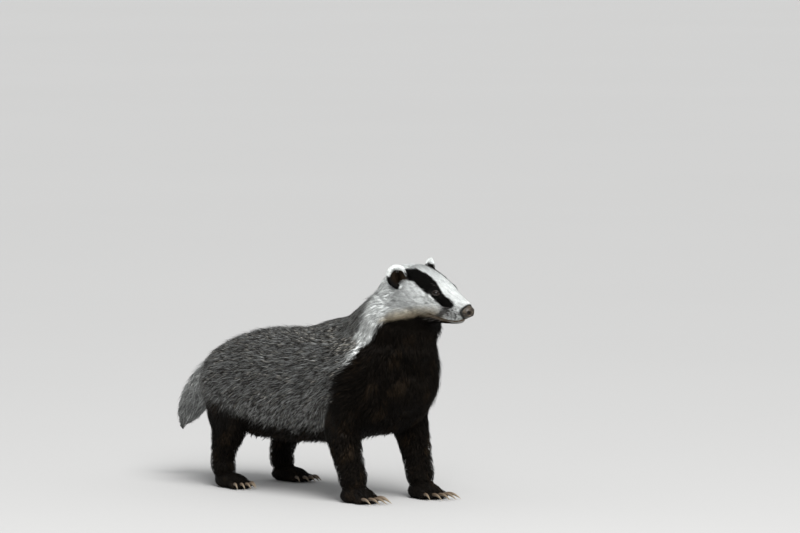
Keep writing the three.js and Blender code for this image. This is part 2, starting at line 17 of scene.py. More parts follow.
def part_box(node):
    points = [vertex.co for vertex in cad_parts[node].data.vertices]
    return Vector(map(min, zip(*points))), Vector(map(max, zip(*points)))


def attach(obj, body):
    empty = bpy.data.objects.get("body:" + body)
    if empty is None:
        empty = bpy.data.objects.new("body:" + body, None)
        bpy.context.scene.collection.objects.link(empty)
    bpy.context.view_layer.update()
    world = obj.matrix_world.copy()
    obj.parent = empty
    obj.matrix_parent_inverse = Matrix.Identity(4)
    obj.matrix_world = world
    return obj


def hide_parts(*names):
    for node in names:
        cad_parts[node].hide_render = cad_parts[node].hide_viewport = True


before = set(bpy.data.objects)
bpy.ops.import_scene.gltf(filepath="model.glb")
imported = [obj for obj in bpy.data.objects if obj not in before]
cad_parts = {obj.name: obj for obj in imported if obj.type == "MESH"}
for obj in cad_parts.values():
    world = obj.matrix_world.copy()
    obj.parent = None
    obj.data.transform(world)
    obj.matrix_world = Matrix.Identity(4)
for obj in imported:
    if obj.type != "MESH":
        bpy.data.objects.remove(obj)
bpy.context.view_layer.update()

Array = np.ndarray
Triple = tuple[float, float, float]  # a place, or half sizes
Colour = tuple[float, float, float]  # linear red, green and blue
Route = list[tuple[float, float, float, float]]  # places with a radius each
Table = tuple[tuple[float, float], ...]  # pairs of a place and the value there
LOG = logging.getLogger("badger")
BODY = "root"
SEED = 7
FLOOR_GAP = 0.0002  # metres between the soles and the floor
SIDES = {"left": 1, "right": -1}
MM_IN_METRE = 1000.0

# The same numbers as in the part's source, in millimetres
WITHERS, TRUNK, TRUNK_HALF, CHEST_FRONT = 320.0, 540.0, 112.0, 85.0
SKULL, CROWN, CHEEK = 123.0, 52.0, 60.0
EYE_RADIUS = 5.6
EYE_SPOT = (62.118, 27.251, 21.955)
EYE_LOOK = (0.42, 0.84, 0.34)
HEAD_PLACE, HEAD_TURN, HEAD_DIP, HEAD_TILT = (50.0, 15.0, 350.0), 16.6, 12.0, 3.3
NOSE_SPOT, NOSE_HALF = (110.0, 0.0, -0.5), (14.0, 14.0, 11.5)

LIPS: Table = (  # height of the line between the lips, by place ahead in the head
    (48, -11.5), (56, -14.5), (66, -17.2), (76, -18.8), (88, -19.6), (98, -18.8), (106, -16.5),
    (113, -12),
)


def smooth(low: float, high: float, value: Array) -> Array:
    """Goes softly from 0 at one value to 1 at another, which may be the smaller of the two."""
    share = np.clip((value - low) / (high - low), 0.0, 1.0)
    return share * share * (3.0 - 2.0 * share)


def mix(first: Array, second: Array, share: Array) -> Array:
    """Blends two rows of colours, vectors or numbers by a share for each."""
    share = share[:, None] if np.ndim(first) > 1 or np.ndim(second) > 1 else share
    return first * (1.0 - share) + second * share


def unit(vectors: Array) -> Array:
    """Gives vectors the length 1."""
    return vectors / np.maximum(np.linalg.norm(vectors, axis=-1, keepdims=True), 1e-9)


def wander(spots: Array, size: float, seed: int) -> Array:
    """Soft noise from a few crossing waves, about -1 to 1.

    Args:
        spots: Places in millimetres, one a row.
        size: Length of a wave in millimetres.
        seed: Picks the waves.

    Returns:
        One value for each place.
    """
    draw = np.random.default_rng(seed)
    waves = unit(draw.normal(size=(7, 3))) * (2.0 * math.pi / size) * draw.uniform(0.6, 1.6, (7, 1))
    return np.sin(spots @ waves.T + draw.uniform(0, 6.28, 7)).sum(axis=1) / 3.2


def read_off(table: Table, places: Array) -> Array:
    """The values of a table at places between its pairs."""
    return np.interp(places, *zip(*table))


def turn_about(axis: int, angle: float) -> Array:
    """A 3x3 turn about X (0), Y (1) or Z (2) by an angle in radians."""
    return np.array(Matrix.Rotation(angle, 3, "XYZ"[axis]))


class Pose:
    """Where one sub-assembly's own millimetres lie in the badger, and the badger in the row's metres."""

    shift: Array = np.zeros(3)

    def __init__(self, turn: Array, place: Triple) -> None:
        """Keeps the 3x3 turn from the own frame to the badger's, and the own origin's place in it."""
        self.turn = turn
        self.place = np.array(place, dtype=float)

    def to_badger(self, spots: Array) -> Array:
        """Own places in the badger's frame."""
        return spots @ self.turn.T + self.place

    def from_badger(self, spots: Array) -> Array:
        """Places in the badger's frame, in the own frame."""
        return (spots - self.place) @ self.turn

    def to_row(self, spots: Array) -> Array:
        """Own places in the row's metres."""
        return (self.to_badger(spots) + Pose.shift) / MM_IN_METRE

    def from_row(self, spots: Array) -> Array:
        """Places in the row's metres, in the own frame."""
        return self.from_badger(spots * MM_IN_METRE - Pose.shift)


def head_turn() -> Array:
    """The head's turn: tilt, then dip, then turn to the left."""
    tilt, dip, turn = (math.radians(angle) for angle in (HEAD_TILT, HEAD_DIP, HEAD_TURN))
    return turn_about(2, turn) @ turn_about(1, dip) @ turn_about(0, tilt)


WHOLE = Pose(np.eye(3), (0.0, 0.0, 0.0))
HEAD = Pose(head_turn(), HEAD_PLACE)


def find_shift() -> None:
    """Reads from the boxes of the CAD eyes how far the badger's frame lies from the row's."""
    corners = [np.array(corner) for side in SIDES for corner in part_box(f"eye_{side}")]
    middle = np.mean(corners, axis=0) * MM_IN_METRE
    Pose.shift = middle - HEAD.to_badger(np.array([EYE_SPOT[0], 0.0, EYE_SPOT[2]]))


@dataclass(frozen=True)
class Station:
    """One cross-section of a loft: its place, half width, and half heights above and below it."""

    at: Triple
    wide: float = 0.0
    up: float = 0.0
    down: float = 0.0


def section(x: float, top: float, bottom: float, wide: float, widest: float = 0.46) -> Station:
    """A station between two heights, widest at a share of the way up."""
    middle = bottom + widest * (top - bottom)
    return Station((x, 0.0, middle), wide, top - middle, middle - bottom)


@dataclass
class Loft:
    """A closed rounded body round a curved line of stations, as in the part's source.

    The skin lies under the tips of the coat by a depth that goes from one value at its start to another at
    its end.
    """

    stations: list[Station]
    reference: Triple
    power: float = 2.0
    depth: tuple[float, float] = (0.0, 0.0)
    around: int = 40
    along: int = 32

    def __post_init__(self) -> None:
        """Keeps the line and the squared half sizes as arrays."""
        self.line = np.array([station.at for station in self.stations], dtype=float)
        self.sizes = np.array([(s.wide**2, s.up**2, s.down**2) for s in self.stations])

    @staticmethod
    def curve(points: Array, share: Array) -> Array:
        """Points of an even Catmull-Rom curve.

        Args:
            points: The points it passes through, one a row.
            share: Shares of the way along it.

        Returns:
            One point for each share.
        """
        ends = np.vstack([2 * points[0] - points[1], points, 2 * points[-1] - points[-2]])
        reach = np.clip(share, 0.0, 1.0) * (len(points) - 1)
        first = np.minimum(reach.astype(int), len(points) - 2)
        t = (reach - first)[..., None]
        a, b, c, d = (ends[first + step] for step in range(4))
        leave, arrive = 0.5 * (c - a), 0.5 * (d - b)
        bend = (-3 * b + 3 * c - 2 * leave - arrive) * t**2 + (2 * b - 2 * c + leave + arrive) * t**3
        return b + leave * t + bend

    def surface(self, share: Array, angle: Array, grow: Array | float = 0.0) -> Array:
        """Points of the surface.

        Args:
            share: Shares of the line's length.
            angle: Angles round it.
            grow: How far out the surface is moved.

        Returns:
            One point for each share and angle.
        """
        centre = self.curve(self.line, share)
        ahead = self.curve(self.line, np.minimum(share + 1e-4, 1.0))
        tangent = unit(ahead - self.curve(self.line, np.maximum(share - 1e-4, 0.0)))
        reference = np.array(self.reference, dtype=float)
        up = unit(reference - tangent * (tangent @ reference)[..., None])
        half = np.sqrt(np.maximum(0.0, self.curve(self.sizes, share))) + np.reshape(grow, (-1, 1))
        side_bend, rise = (
            np.sign(wave) * np.abs(wave) ** (2.0 / self.power) for wave in (np.cos(angle), np.sin(angle))
        )
        high = np.where(rise > 0, half[..., 1], half[..., 2]) * rise
        return centre + np.cross(tangent, up) * (half[..., 0] * side_bend)[..., None] + up * high[..., None]


def mouth_line(head: Array) -> tuple[Array, Array]:
    """Height of places of the head over the line between the lips, and how far the mouth reaches there."""
    return head[:, 2] - read_off(LIPS, head[:, 0]), smooth(48, 58, head[:, 0])


def set_places(verts: list[bmesh.types.BMVert], spots: Array) -> None:
    """Puts a mesh's vertices at new places."""
    for vert, spot in zip(verts, spots):
        vert.co = spot


def places_of(verts: list[bmesh.types.BMVert]) -> Array:
    """The places of a mesh's vertices, one a row."""
    return np.array([tuple(vert.co) for vert in verts])


def ball_in(shape: bmesh.types.BMesh, segments: int, rings: int) -> tuple[list[bmesh.types.BMVert], Array]:
    """Adds a ball of radius 1 to a bmesh and gives its vertices and their places."""
    verts = bmesh.ops.create_uvsphere(shape, u_segments=segments, v_segments=rings, radius=1.0)["verts"]
    return verts, places_of(verts)


def polar(ball: Array) -> tuple[Array, Array]:
    """Where places of a ball lie: shares of the way from its top pole, and angles round it."""
    return np.arccos(np.clip(ball[:, 2], -1, 1)) / math.pi, np.arctan2(ball[:, 1], ball[:, 0])


def vectors_of(mesh: bpy.types.Mesh, name: str = "co") -> Array:
    """The places or another vector of a mesh's vertices, one a row."""
    values = np.empty(len(mesh.vertices) * 3)
    mesh.vertices.foreach_get(name, values)
    return values.reshape(-1, 3)


def set_colour(mesh: bpy.types.Mesh, name: str, colours: Array) -> None:
    """Writes a colour for each vertex into an attribute."""
    rgba = np.concatenate([colours, np.ones((len(colours), 1))], axis=1)
    mesh.attributes.new(name, "FLOAT_COLOR", "POINT").data.foreach_set("color", rgba.ravel())


def set_number(mesh: bpy.types.Mesh, name: str, values: Array) -> None:
    """Writes a number for each vertex into an attribute."""
    mesh.attributes.new(name, "FLOAT", "POINT").data.foreach_set("value", values.ravel())


def set_vector(mesh: bpy.types.Mesh, name: str, vectors: Array) -> None:
    """Writes a vector for each vertex into an attribute."""
    mesh.attributes.new(name, "FLOAT_VECTOR", "POINT").data.foreach_set("vector", vectors.ravel())


def new_object(name: str, mesh: bpy.types.Mesh) -> bpy.types.Object:
    """Links a mesh into the scene as an object at the origin."""
    made = bpy.data.objects.new(name, mesh)
    bpy.context.scene.collection.objects.link(made)
    return made


def object_from(name: str, shape: bmesh.types.BMesh, turned: bool = True) -> bpy.types.Object:
    """Makes a smooth-shaded object of a bmesh and frees it.

    Args:
        name: The object's name.
        shape: The finished shape, in the row's metres.
        turned: Whether its faces are first turned outwards.

    Returns:
        The new object.
    """
    if turned:
        bmesh.ops.recalc_face_normals(shape, faces=shape.faces)
    mesh = bpy.data.meshes.new(name)
    shape.to_mesh(mesh)
    shape.free()
    mesh.shade_smooth()
    return new_object(name, mesh)


def apply_modifiers(made: bpy.types.Object) -> None:
    """Applies all of an object's modifiers to its mesh."""
    baked = bpy.data.meshes.new_from_object(made.evaluated_get(bpy.context.evaluated_depsgraph_get()))
    made.modifiers.clear()
    made.data = baked


class Mass:
    """Closed shells that are melted into one body."""

    def __init__(self, name: str, voxel: float, soften: int) -> None:
        """Starts an empty mass with its object's name, voxel size in millimetres and rounds of smoothing."""
        self.name, self.voxel, self.soften = name, voxel, soften
        self.shape = bmesh.new()

    def add(self, loft: Loft, pose: Pose = WHOLE) -> None:
        """Adds a loft at the skin's depth.

        Args:
            loft: The loft.
            pose: Whose frame it is made in.
        """
        verts, ball = ball_in(self.shape, loft.around, loft.along)
        share, angle = polar(ball)
        depth = loft.depth[0] + (loft.depth[1] - loft.depth[0]) * share**2
        set_places(verts, pose.to_row(loft.surface(share, angle, -depth)))

    def add_ball(self, place: Array, half: Triple, turn: Array, pose: Pose) -> None:
        """Adds an egg with three half lengths, turned about its centre, in the frame of a pose."""
        verts, ball = ball_in(self.shape, 24, 16)
        set_places(verts, pose.to_row((ball * half) @ turn.T + place))

    def melt(self) -> bpy.types.Object:
        """Melts the shells into one smooth closed body.

        Returns:
            The body's object.
        """
        body = object_from(self.name, self.shape)
        remesh = body.modifiers.new("melt", "REMESH")
        remesh.mode = "VOXEL"
        remesh.voxel_size = self.voxel / MM_IN_METRE
        apply_modifiers(body)
        shape = bmesh.new()
        shape.from_mesh(body.data)
        for _ in range(self.soften):
            bmesh.ops.smooth_vert(
                shape, verts=shape.verts, factor=0.5, use_axis_x=True, use_axis_y=True, use_axis_z=True
            )
        shape.to_mesh(body.data)
        shape.free()
        return body


@dataclass(frozen=True)
class Ear:
    """The rounded ear on one side of the crown, a cup that opens forwards and outwards."""

    sign: int
    place: Triple = (-1.0, 53.8, 38.0)
    wide: float = 17.5
    tall: float = 19.5
    deep: float = 12.0
    wall: float = 3.6
    brim: float = 0.58  # how far down the ball, from pole to pole, the cup's outside reaches

    @property
    def pose(self) -> Pose:
        """The cup's own frame: +X out of its opening, +Z to its top."""
        sign = self.sign
        turn = turn_about(2, 0.62 * sign) @ turn_about(0, -0.5 * sign) @ turn_about(1, -0.34)
        place = HEAD.to_badger(np.array([self.place[0], sign * self.place[1], self.place[2]]))
        return Pose(HEAD.turn @ turn, tuple(place))

    def shell(self, mass: Mass) -> None:
        """Adds the cup to the head's mass: a ball whose front half is turned in.

        Args:
            mass: The head's mass.
        """
        verts, ball = ball_in(mass.shape, 48, 48)
        share, around = polar(ball)
        outside = share < self.brim
        back = np.clip(share / self.brim, 0, 1) * 0.54 * math.pi
        inner = np.clip((share - self.brim) / 0.42, 0, 1) * math.pi / 2
        deep = np.where(outside, -self.deep * np.cos(back), 1.5 - (self.deep - 3.0) * np.sin(inner))
        reach = np.where(outside, np.sin(back), np.cos(inner))
        wide, tall = (size - np.where(outside, 0.0, self.wall) for size in (self.wide, self.tall))
        spots = np.stack([deep, reach * np.cos(around) * wide, reach * np.sin(around) * tall], axis=1)
        set_places(verts, self.pose.to_row(spots))

    def reach(self, spots: Array) -> Array:
        """How far out from the cup's middle each place lies, as a share of its rim."""
        own = self.pose.from_badger(spots)
        return np.hypot(own[:, 1] / self.wide, own[:, 2] / self.tall)

    def holds(self, spots: Array) -> Array:
        """Whether each place is on the ear and not on the skull."""
        own, head = self.pose.from_badger(spots), HEAD.from_badger(spots)
        inside = np.linalg.norm(own / (self.deep + 3, self.wide + 3, self.tall + 3), axis=1) < 1
        return inside & ((head[:, 1] * self.sign > 45.5) & (head[:, 2] > 17) | (head[:, 2] > 50))


@dataclass(frozen=True)
class Paw:
    """One paw: its pad, five fanned toes and their claws, at the end of a leg."""

    sign: int
    ahead: float
    out: float
    half: Triple
    toe: Triple
    claw: float
    turn: float

    @property
    def pose(self) -> Pose:
        """The paw's own frame: +X to the toes, with the sole on z = 0."""
        return Pose(turn_about(2, self.turn * self.sign), (self.ahead, self.sign * self.out, 0.0))

    def toes(self) -> list[tuple[float, float, float, bool]]:
        """The toes from the inner to the outer one: place ahead and aside, fan angle, and if it is inner."""
        spots = []
        for step in range(5):
            share = step / 4 - 0.5
            back = 15 * share**2 * (3.4 if share < 0 else 2.0)
            aside = self.sign * share * 2 * (self.half[1] - self.toe[1] * 0.75)
            spots.append((self.half[0] - 4 - back, aside, self.sign * share * 0.5, step == 0))
        return spots

    def shell(self, mass: Mass, depth: float) -> None:
        """Adds pad and toes to the legs' mass.

        Args:
            mass: The legs' mass.
            depth: How far the skin lies under the tips of the fur.
        """
        half = tuple(size - depth for size in self.half)
        mass.add_ball(np.array([0, 0, 11.0]), half, np.eye(3), self.pose)
        for ahead, aside, fan, _ in self.toes():
            half = tuple(size - depth for size in self.toe)
            mass.add_ball(np.array([ahead, aside, 6.8]), half, turn_about(2, fan), self.pose)

    def claw_loft(self, toe: tuple[float, float, float, bool]) -> Loft:
        """The curved tapered claw of one toe, in the paw's frame."""
        ahead, aside, fan, inner = toe
        length = self.claw * (0.8 if inner else 1.0)
        start = np.array([ahead + self.toe[0] * 0.55, aside, 8.5])
        forward = np.array([math.cos(fan), math.sin(fan), 0.0])

        def spot(share: float) -> Triple:
            """A place along the claw's curve."""
            place = start + forward * share * length
            return (place[0], place[1], place[2] + 2.2 * math.sin(share * math.pi) - 5 * share**2)

        sizes = ((0.12, 1.0), (0.35, 0.92), (0.6, 0.74), (0.85, 0.44), (1.0, 0.22))
        rings = [Station(spot(share), 2.3 * size, 3.0 * size, 2.8 * size) for share, size in sizes]
        return Loft([Station(spot(-0.1)), *rings, Station(spot(1.1))], (0, 0, 1), around=16, along=22)


@dataclass(frozen=True)
class Leg:
    """One leg: the line it follows down to its paw."""

    end: str
    side: str
    step: float

    @property
    def sign(self) -> int:
        """1 on the left, -1 on the right."""
        return SIDES[self.side]

    @property
    def front(self) -> bool:
        """Whether it is a foreleg."""
        return self.end == "fore"

    @property
    def loft(self) -> Loft:
        """The leg from inside the trunk to inside the paw."""
        fore = [
            (-24, 66, 185, 0, 0, 0), (-24, 67, 165, 28, 32, 34), (-24, 69, 128, 29, 32, 37),
            (-14, 70, 90, 27, 29, 30), (-4, 69, 58, 25, 26, 25), (2, 68, 34, 25, 26, 23),
            (4, 68, 12, 0, 0, 0),
        ]
        hind = [
            (-335, 74, 160, 0, 0, 0), (-336, 75, 140, 30, 38, 40), (-340, 76, 108, 29, 36, 36),
            (-354, 75, 76, 24, 28, 26), (-362, 74, 48, 22, 23, 21), (-360, 74, 30, 22, 24, 20),
            (-358, 74, 10, 0, 0, 0),
        ]
        rows = fore if self.front else hind
        stations = [Station((x + self.step, self.sign * y, z), w, u, d) for x, y, z, w, u, d in rows]
        return Loft(stations, (1, 0, 0), depth=(8.0, 3.0))

    @property
    def paw(self) -> Paw:
        """The paw that it stands on."""
        if self.front:
            return Paw(self.sign, 14 + self.step, 68, (36, 26, 17), (13, 7.2, 8.2), 31, -0.06)
        return Paw(self.sign, -338 + self.step, 74, (42, 23, 15), (12, 6.4, 7.4), 17, 0.1)


LEGS = [
    Leg("fore", "left", 4), Leg("fore", "right", -10), Leg("hind", "left", -14), Leg("hind", "right", 8),
]
EARS = [Ear(sign) for sign in SIDES.values()]


class Build(Enum):
    """The three masses of the skin, with voxel size in millimetres and rounds of smoothing."""

    TRUNK = ("trunk_mass", 4.2, 5)
    LEGS = ("leg_mass", 2.2, 4)
    HEAD = ("head_mass", 1.35, 5)

    def mass(self) -> Mass:
        """An empty mass of this kind."""
        return Mass(*self.value)


@dataclass
class Skin:
    """The one skin under the coat: trunk, neck, limbs, tail and head melted together."""

    trunk_depth: float = 15.0
    muzzle_depth: float = 1.2
    nape_depth: float = 9.0
    paw_depth: float = 1.8
    body: bpy.types.Object | None = field(default=None, init=False)

    def body_lofts(self) -> list[Loft]:
        """Trunk, neck, upper limbs and tail.

        Returns:
            Their lofts, in the badger's frame.
        """
        rows = [
            (0.034, 0.87, 0.46, 0.58), (0.093, 0.94, 0.4, 0.76), (0.157, 0.98, 0.353, 0.85),
            (0.25, 1.0, 0.331, 0.91), (0.343, 0.98, 0.295, 0.946), (0.454, 0.928, 0.27, 0.982),
            (0.565, 0.888, 0.258, 1.0), (0.676, 0.866, 0.258, 0.99), (0.787, 0.844, 0.285, 0.955),
            (0.88, 0.794, 0.356, 0.82), (0.954, 0.706, 0.438, 0.563),
        ]
        sections = [
            section(CHEST_FRONT - along * TRUNK, top * WITHERS, low * WITHERS, wide * TRUNK_HALF)
            for along, top, low, wide in rows
        ]
        front, rear = (CHEST_FRONT, 0, 0.66 * WITHERS), (CHEST_FRONT - TRUNK, 0, 0.575 * WITHERS)
        deep = self.trunk_depth
        trunk = Loft([Station(front), *sections, Station(rear)], (0, 0, 1), 2.15, (deep, deep), 64, 48)
        limbs = [self.upper_limb(sign, front) for sign in SIDES.values() for front in (True, False)]
        return [trunk, self.neck(), self.tail(), *limbs]

    def trunk(self) -> bpy.types.Object:
        """The mass of trunk, neck, upper limbs and tail.

        Returns:
            Its object.
        """
        mass = Build.TRUNK.mass()
        for loft in self.body_lofts():
            mass.add(loft)
        return mass.melt()

    def neck(self) -> Loft:
        """The neck, from inside the shoulders into the back of the head."""
        rings = [
            Station((-55, 0, 190), 74, 70, 74), Station((-28, 0, 232), 86, 96, 112),
            Station((8, 4, 280), 80, 84, 93), Station((38, 11, 326), 68, 56, 66),
            Station((56, 17, 356), 50, 40, 46),
        ]
        ends = Station((-75, 0, 155)), Station((66, 20, 374))
        return Loft([ends[0], *rings, ends[1]], (-0.85, 0, 0.53), depth=(self.trunk_depth, 6.5))

    def upper_limb(self, sign: int, front: bool) -> Loft:
        """The shoulder or the thigh on one side, which swells out of the trunk."""
        fore = [
            (-14, 55, 285, 0, 0, 0), (-14, 60, 262, 34, 40, 40), (-18, 62, 215, 40, 48, 52),
            (-24, 66, 165, 37, 42, 45), (-25, 68, 125, 29, 30, 32), (-24, 68, 106, 0, 0, 0),
        ]
        hind = [
            (-345, 52, 232, 0, 0, 0), (-343, 58, 212, 40, 56, 50), (-338, 65, 176, 42, 72, 60),
            (-330, 71, 140, 40, 60, 60), (-336, 75, 108, 33, 38, 42), (-342, 76, 86, 0, 0, 0),
        ]
        stations = [Station((x, sign * y, z), w, u, d) for x, y, z, w, u, d in (fore if front else hind)]
        return Loft(stations, (1, 0, 0), depth=(self.trunk_depth, 7.0))

    @staticmethod
    def tail() -> Loft:
        """The short tail, hanging from the rump."""
        rings = [
            Station((-440, 0, 204), 26, 25, 25), Station((-470, 0, 184), 30, 28, 27),
            Station((-510, 0, 150), 31, 26, 28), Station((-543, 0, 112), 21, 18, 20),
        ]
        ends = Station((-425, 0, 214)), Station((-563.75, 0, 78))
        return Loft([ends[0], *rings, ends[1]], (0, 0, 1), depth=(14.0, 11.0))

    def legs(self) -> bpy.types.Object:
        """The mass of the four legs and paws.

        Returns:
            Its object.
        """
        mass = Build.LEGS.mass()
        for leg in LEGS:
            mass.add(leg.loft)
            leg.paw.shell(mass, self.paw_depth)
        return mass.melt()

    def head_lofts(self) -> list[Loft]:
        """Skull and lower jaw.

        Returns:
            Their lofts, in the head's frame.
        """
        rows = [
            (0.95, 0.2, -0.2, 0.18), (0.88, 0.32, -0.3, 0.28), (0.78, 0.4, -0.36, 0.34),
            (0.66, 0.52, -0.41, 0.41), (0.54, 0.68, -0.47, 0.51), (0.42, 0.83, -0.55, 0.64),
            (0.28, 0.95, -0.65, 0.83), (0.12, 1.02, -0.75, 0.96), (-0.06, 1.0, -0.77, 1.0),
            (-0.22, 0.93, -0.66, 0.9), (-0.36, 0.78, -0.48, 0.66),
        ]
        jaw_rows = [
            (0.85, -0.16, -0.43, 0.18), (0.77, -0.16, -0.5, 0.26), (0.64, -0.18, -0.56, 0.33),
            (0.48, -0.22, -0.63, 0.42), (0.3, -0.3, -0.7, 0.5),
        ]

        def sections(table: list[tuple[float, float, float, float]], widest: float) -> list[Station]:
            """The stations of a table of shares: ahead, top, bottom, half width."""
            return [
                section(ahead * SKULL, top * CROWN, low * CROWN, wide * CHEEK, widest)
                for ahead, top, low, wide in table
            ]

        skull_ends = Station((0.99 * SKULL, 0, 0)), Station((-0.46 * SKULL, 0, 0.16 * CROWN))
        skull = [skull_ends[0], *sections(rows, 0.44), skull_ends[1]]
        jaw_ends = Station((0.88 * SKULL, 0, -0.3 * CROWN)), Station((0.1 * SKULL, 0, -0.55 * CROWN))
        jaw = [jaw_ends[0], *sections(jaw_rows, 0.55), jaw_ends[1]]
        return [
            Loft(skull, (0, 0, 1), 2.2, (self.muzzle_depth, self.nape_depth), 96, 80),
            Loft(jaw, (0, 0, 1), 2.2, (1.0, 2.5), 64, 48),
        ]

    def head(self) -> bpy.types.Object:
        """The mass of skull, jaw, lips and ears, sculpted round eyes, mouth and nose.

        Returns:
            Its object.
        """
        mass = Build.HEAD.mass()
        for loft in self.head_lofts():
            mass.add(loft, HEAD)
        for ear in EARS:
            ear.shell(mass)
        body = mass.melt()
        self.sculpt(body.data)
        return body

    def tips(self) -> BVHTree:
        """The outline that the tips of the coat reach, melted from the same lofts without their depth.

        Returns:
            A tree for the nearest place on it, in the badger's frame.
        """
        mass = Mass("tips", 4.0, 2)
        for loft in [*self.body_lofts(), *(leg.loft for leg in LEGS)]:
            mass.add(replace(loft, depth=(0.0, 0.0)))
        for loft in self.head_lofts():
            mass.add(replace(loft, depth=(0.0, 0.0)), HEAD)
        for leg in LEGS:
            leg.paw.shell(mass, 0.0)
        outline = mass.melt()
        spots = WHOLE.from_row(places_of(outline.data.vertices))
        tree = BVHTree.FromPolygons(spots.tolist(), [list(face.vertices) for face in outline.data.polygons])
        bpy.data.objects.remove(outline)
        return tree

    def sculpt(self, mesh: bpy.types.Mesh) -> None:
        """Shapes lids, brows, lips and the skin round the nose on the melted head.

        Args:
            mesh: The head's mesh, in the row's metres.
        """
        own = HEAD.from_row(vectors_of(mesh))
        aside = np.sign(own[:, 1])
        for sign in SIDES.values():
            own = EyeSet(sign).press_lids(own)
        off, along = mouth_line(own)
        groove = np.exp(-((off / 1.1) ** 2)) * 2.0 - np.exp(-(((off - 4.4) / 3.0) ** 2)) * 1.3
        groove -= np.exp(-(((off + 3.0) / 2.0) ** 2)) * 0.8
        own[:, 1] -= aside * groove * along * smooth(2, 8, np.abs(own[:, 1]))
        brow = np.exp(-(((own - (52, 0, 38)) / (15, 30, 7)) ** 2).sum(axis=1))
        brow *= smooth(8, 18, np.abs(own[:, 1]))
        own[:, 1] += aside * brow * 1.4
        tip = np.hypot(own[:, 1] / NOSE_HALF[1], (own[:, 2] - NOSE_SPOT[2]) / NOSE_HALF[2])
        own[:, 0] = np.minimum(own[:, 0], NOSE_SPOT[0] - 2 + 6 * smooth(0.8, 1.1, tip))
        mesh.vertices.foreach_set("co", HEAD.to_row(own).ravel())
        mesh.update()

    def build(self) -> None:
        """Joins the masses into one closed skin that replaces the nodes of flesh."""
        whole, *others = self.trunk(), self.legs(), self.head()
        for other in others:
            joined = whole.modifiers.new("join", "BOOLEAN")
            joined.operation, joined.solver, joined.object = "UNION", "MANIFOLD", other
            apply_modifiers(whole)
            bpy.data.objects.remove(other)
        whole.name = whole.data.name = "skin"
        shape = bmesh.new()
        shape.from_mesh(whole.data)
        bmesh.ops.remove_doubles(shape, verts=shape.verts, dist=1e-5)
        for vert in shape.verts:
            vert.co.z = max(vert.co.z, FLOOR_GAP)
        bmesh.ops.triangulate(shape, faces=shape.faces)
        self.close(shape)
        shape.to_mesh(whole.data)
        shape.free()
        whole.data.shade_smooth()
        nodes = ["head", "lower_jaw", "ear_left", "ear_right", "neck", "torso", "tail"]
        nodes += [f"{leg.end}{piece}_{leg.side}" for leg in LEGS for piece in ("leg", "paw")]
        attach(whole, BODY)
        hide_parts(*nodes)
        self.body = whole

    @staticmethod
    def close(shape: bmesh.types.BMesh) -> None:
        """Cuts out corners where more or fewer than two faces meet at an edge, and fills what that opens.

        Args:
            shape: The skin, made of triangles.
        """
        for _ in range(3):
            torn = [edge for edge in shape.edges if len(edge.link_faces) != 2]
            LOG.info("skin: %d triangles, %d torn edges", len(shape.faces), len(torn))
            if not torn:
                return
            corners = list(dict.fromkeys(vert for edge in torn for vert in edge.verts))
            bmesh.ops.delete(shape, geom=corners, context="VERTS")
            rims = [edge for edge in shape.edges if len(edge.link_faces) == 1]
            filled = bmesh.ops.holes_fill(shape, edges=rims, sides=0)["faces"]
            bmesh.ops.triangulate(shape, faces=filled)

    def dress(self, coat_map: "CoatMap", finish: "FurFinish") -> None:
        """Gives the skin its markings and its short under-fur.

        Args:
            coat_map: The badger's markings.
            finish: The under-fur's finish.
        """
        mesh = self.body.data
        badger = WHOLE.from_row(vectors_of(mesh))
        tone, grizzle = coat_map.tones(badger)
        bare = coat_map.bare(badger)
        shade = 0.72 - 0.35 * (grizzle * 0.6)
        set_colour(mesh, "tone", tone * mix(shade, np.ones(len(shade)), bare)[:, None])
        set_number(mesh, "bare", bare)
        set_vector(mesh, "comb", combed(badger, coat_map.lie(badger), 0.86))
        mesh.materials.clear()
        mesh.materials.append(finish.skin_material())


def combed(spots: Array, lie: Array, share: float) -> Array:
    """Places drawn together along the lie of the hair by a share, so that noise runs out in streaks."""
    return spots - lie * ((spots * lie).sum(axis=1) * share)[:, None]


def past_collar(spots: Array) -> Array:
    """How far places in the badger's frame lie past the collar, where the neck begins."""
    return (spots - (10, 0, 275)) @ unit(np.array([0.53, 0, 0.85]))


def from_nose(head: Array) -> Array:
    """How far places of the head lie from the middle of the nose: 1 on its surface."""
    return np.linalg.norm((head - NOSE_SPOT) / np.array(NOSE_HALF), axis=1)


class Way(Enum):
    """The ways that hair lies on the body, in the badger's frame."""

    BACK = (-1.0, 0.0, -0.3)
    FLANK = (-0.8, 0.0, -0.6)
    RUMP = (-0.65, 0.0, -0.76)
    NECK = (-0.53, 0.0, -0.85)
    CHEST = (-0.12, 0.0, -1.0)
    LEG = (-0.22, 0.0, -1.0)
    FOOT = (0.85, 0.0, -0.55)

    @property
    def vector(self) -> Array:
        """The way as a row of its own."""
        return np.array([self.value])


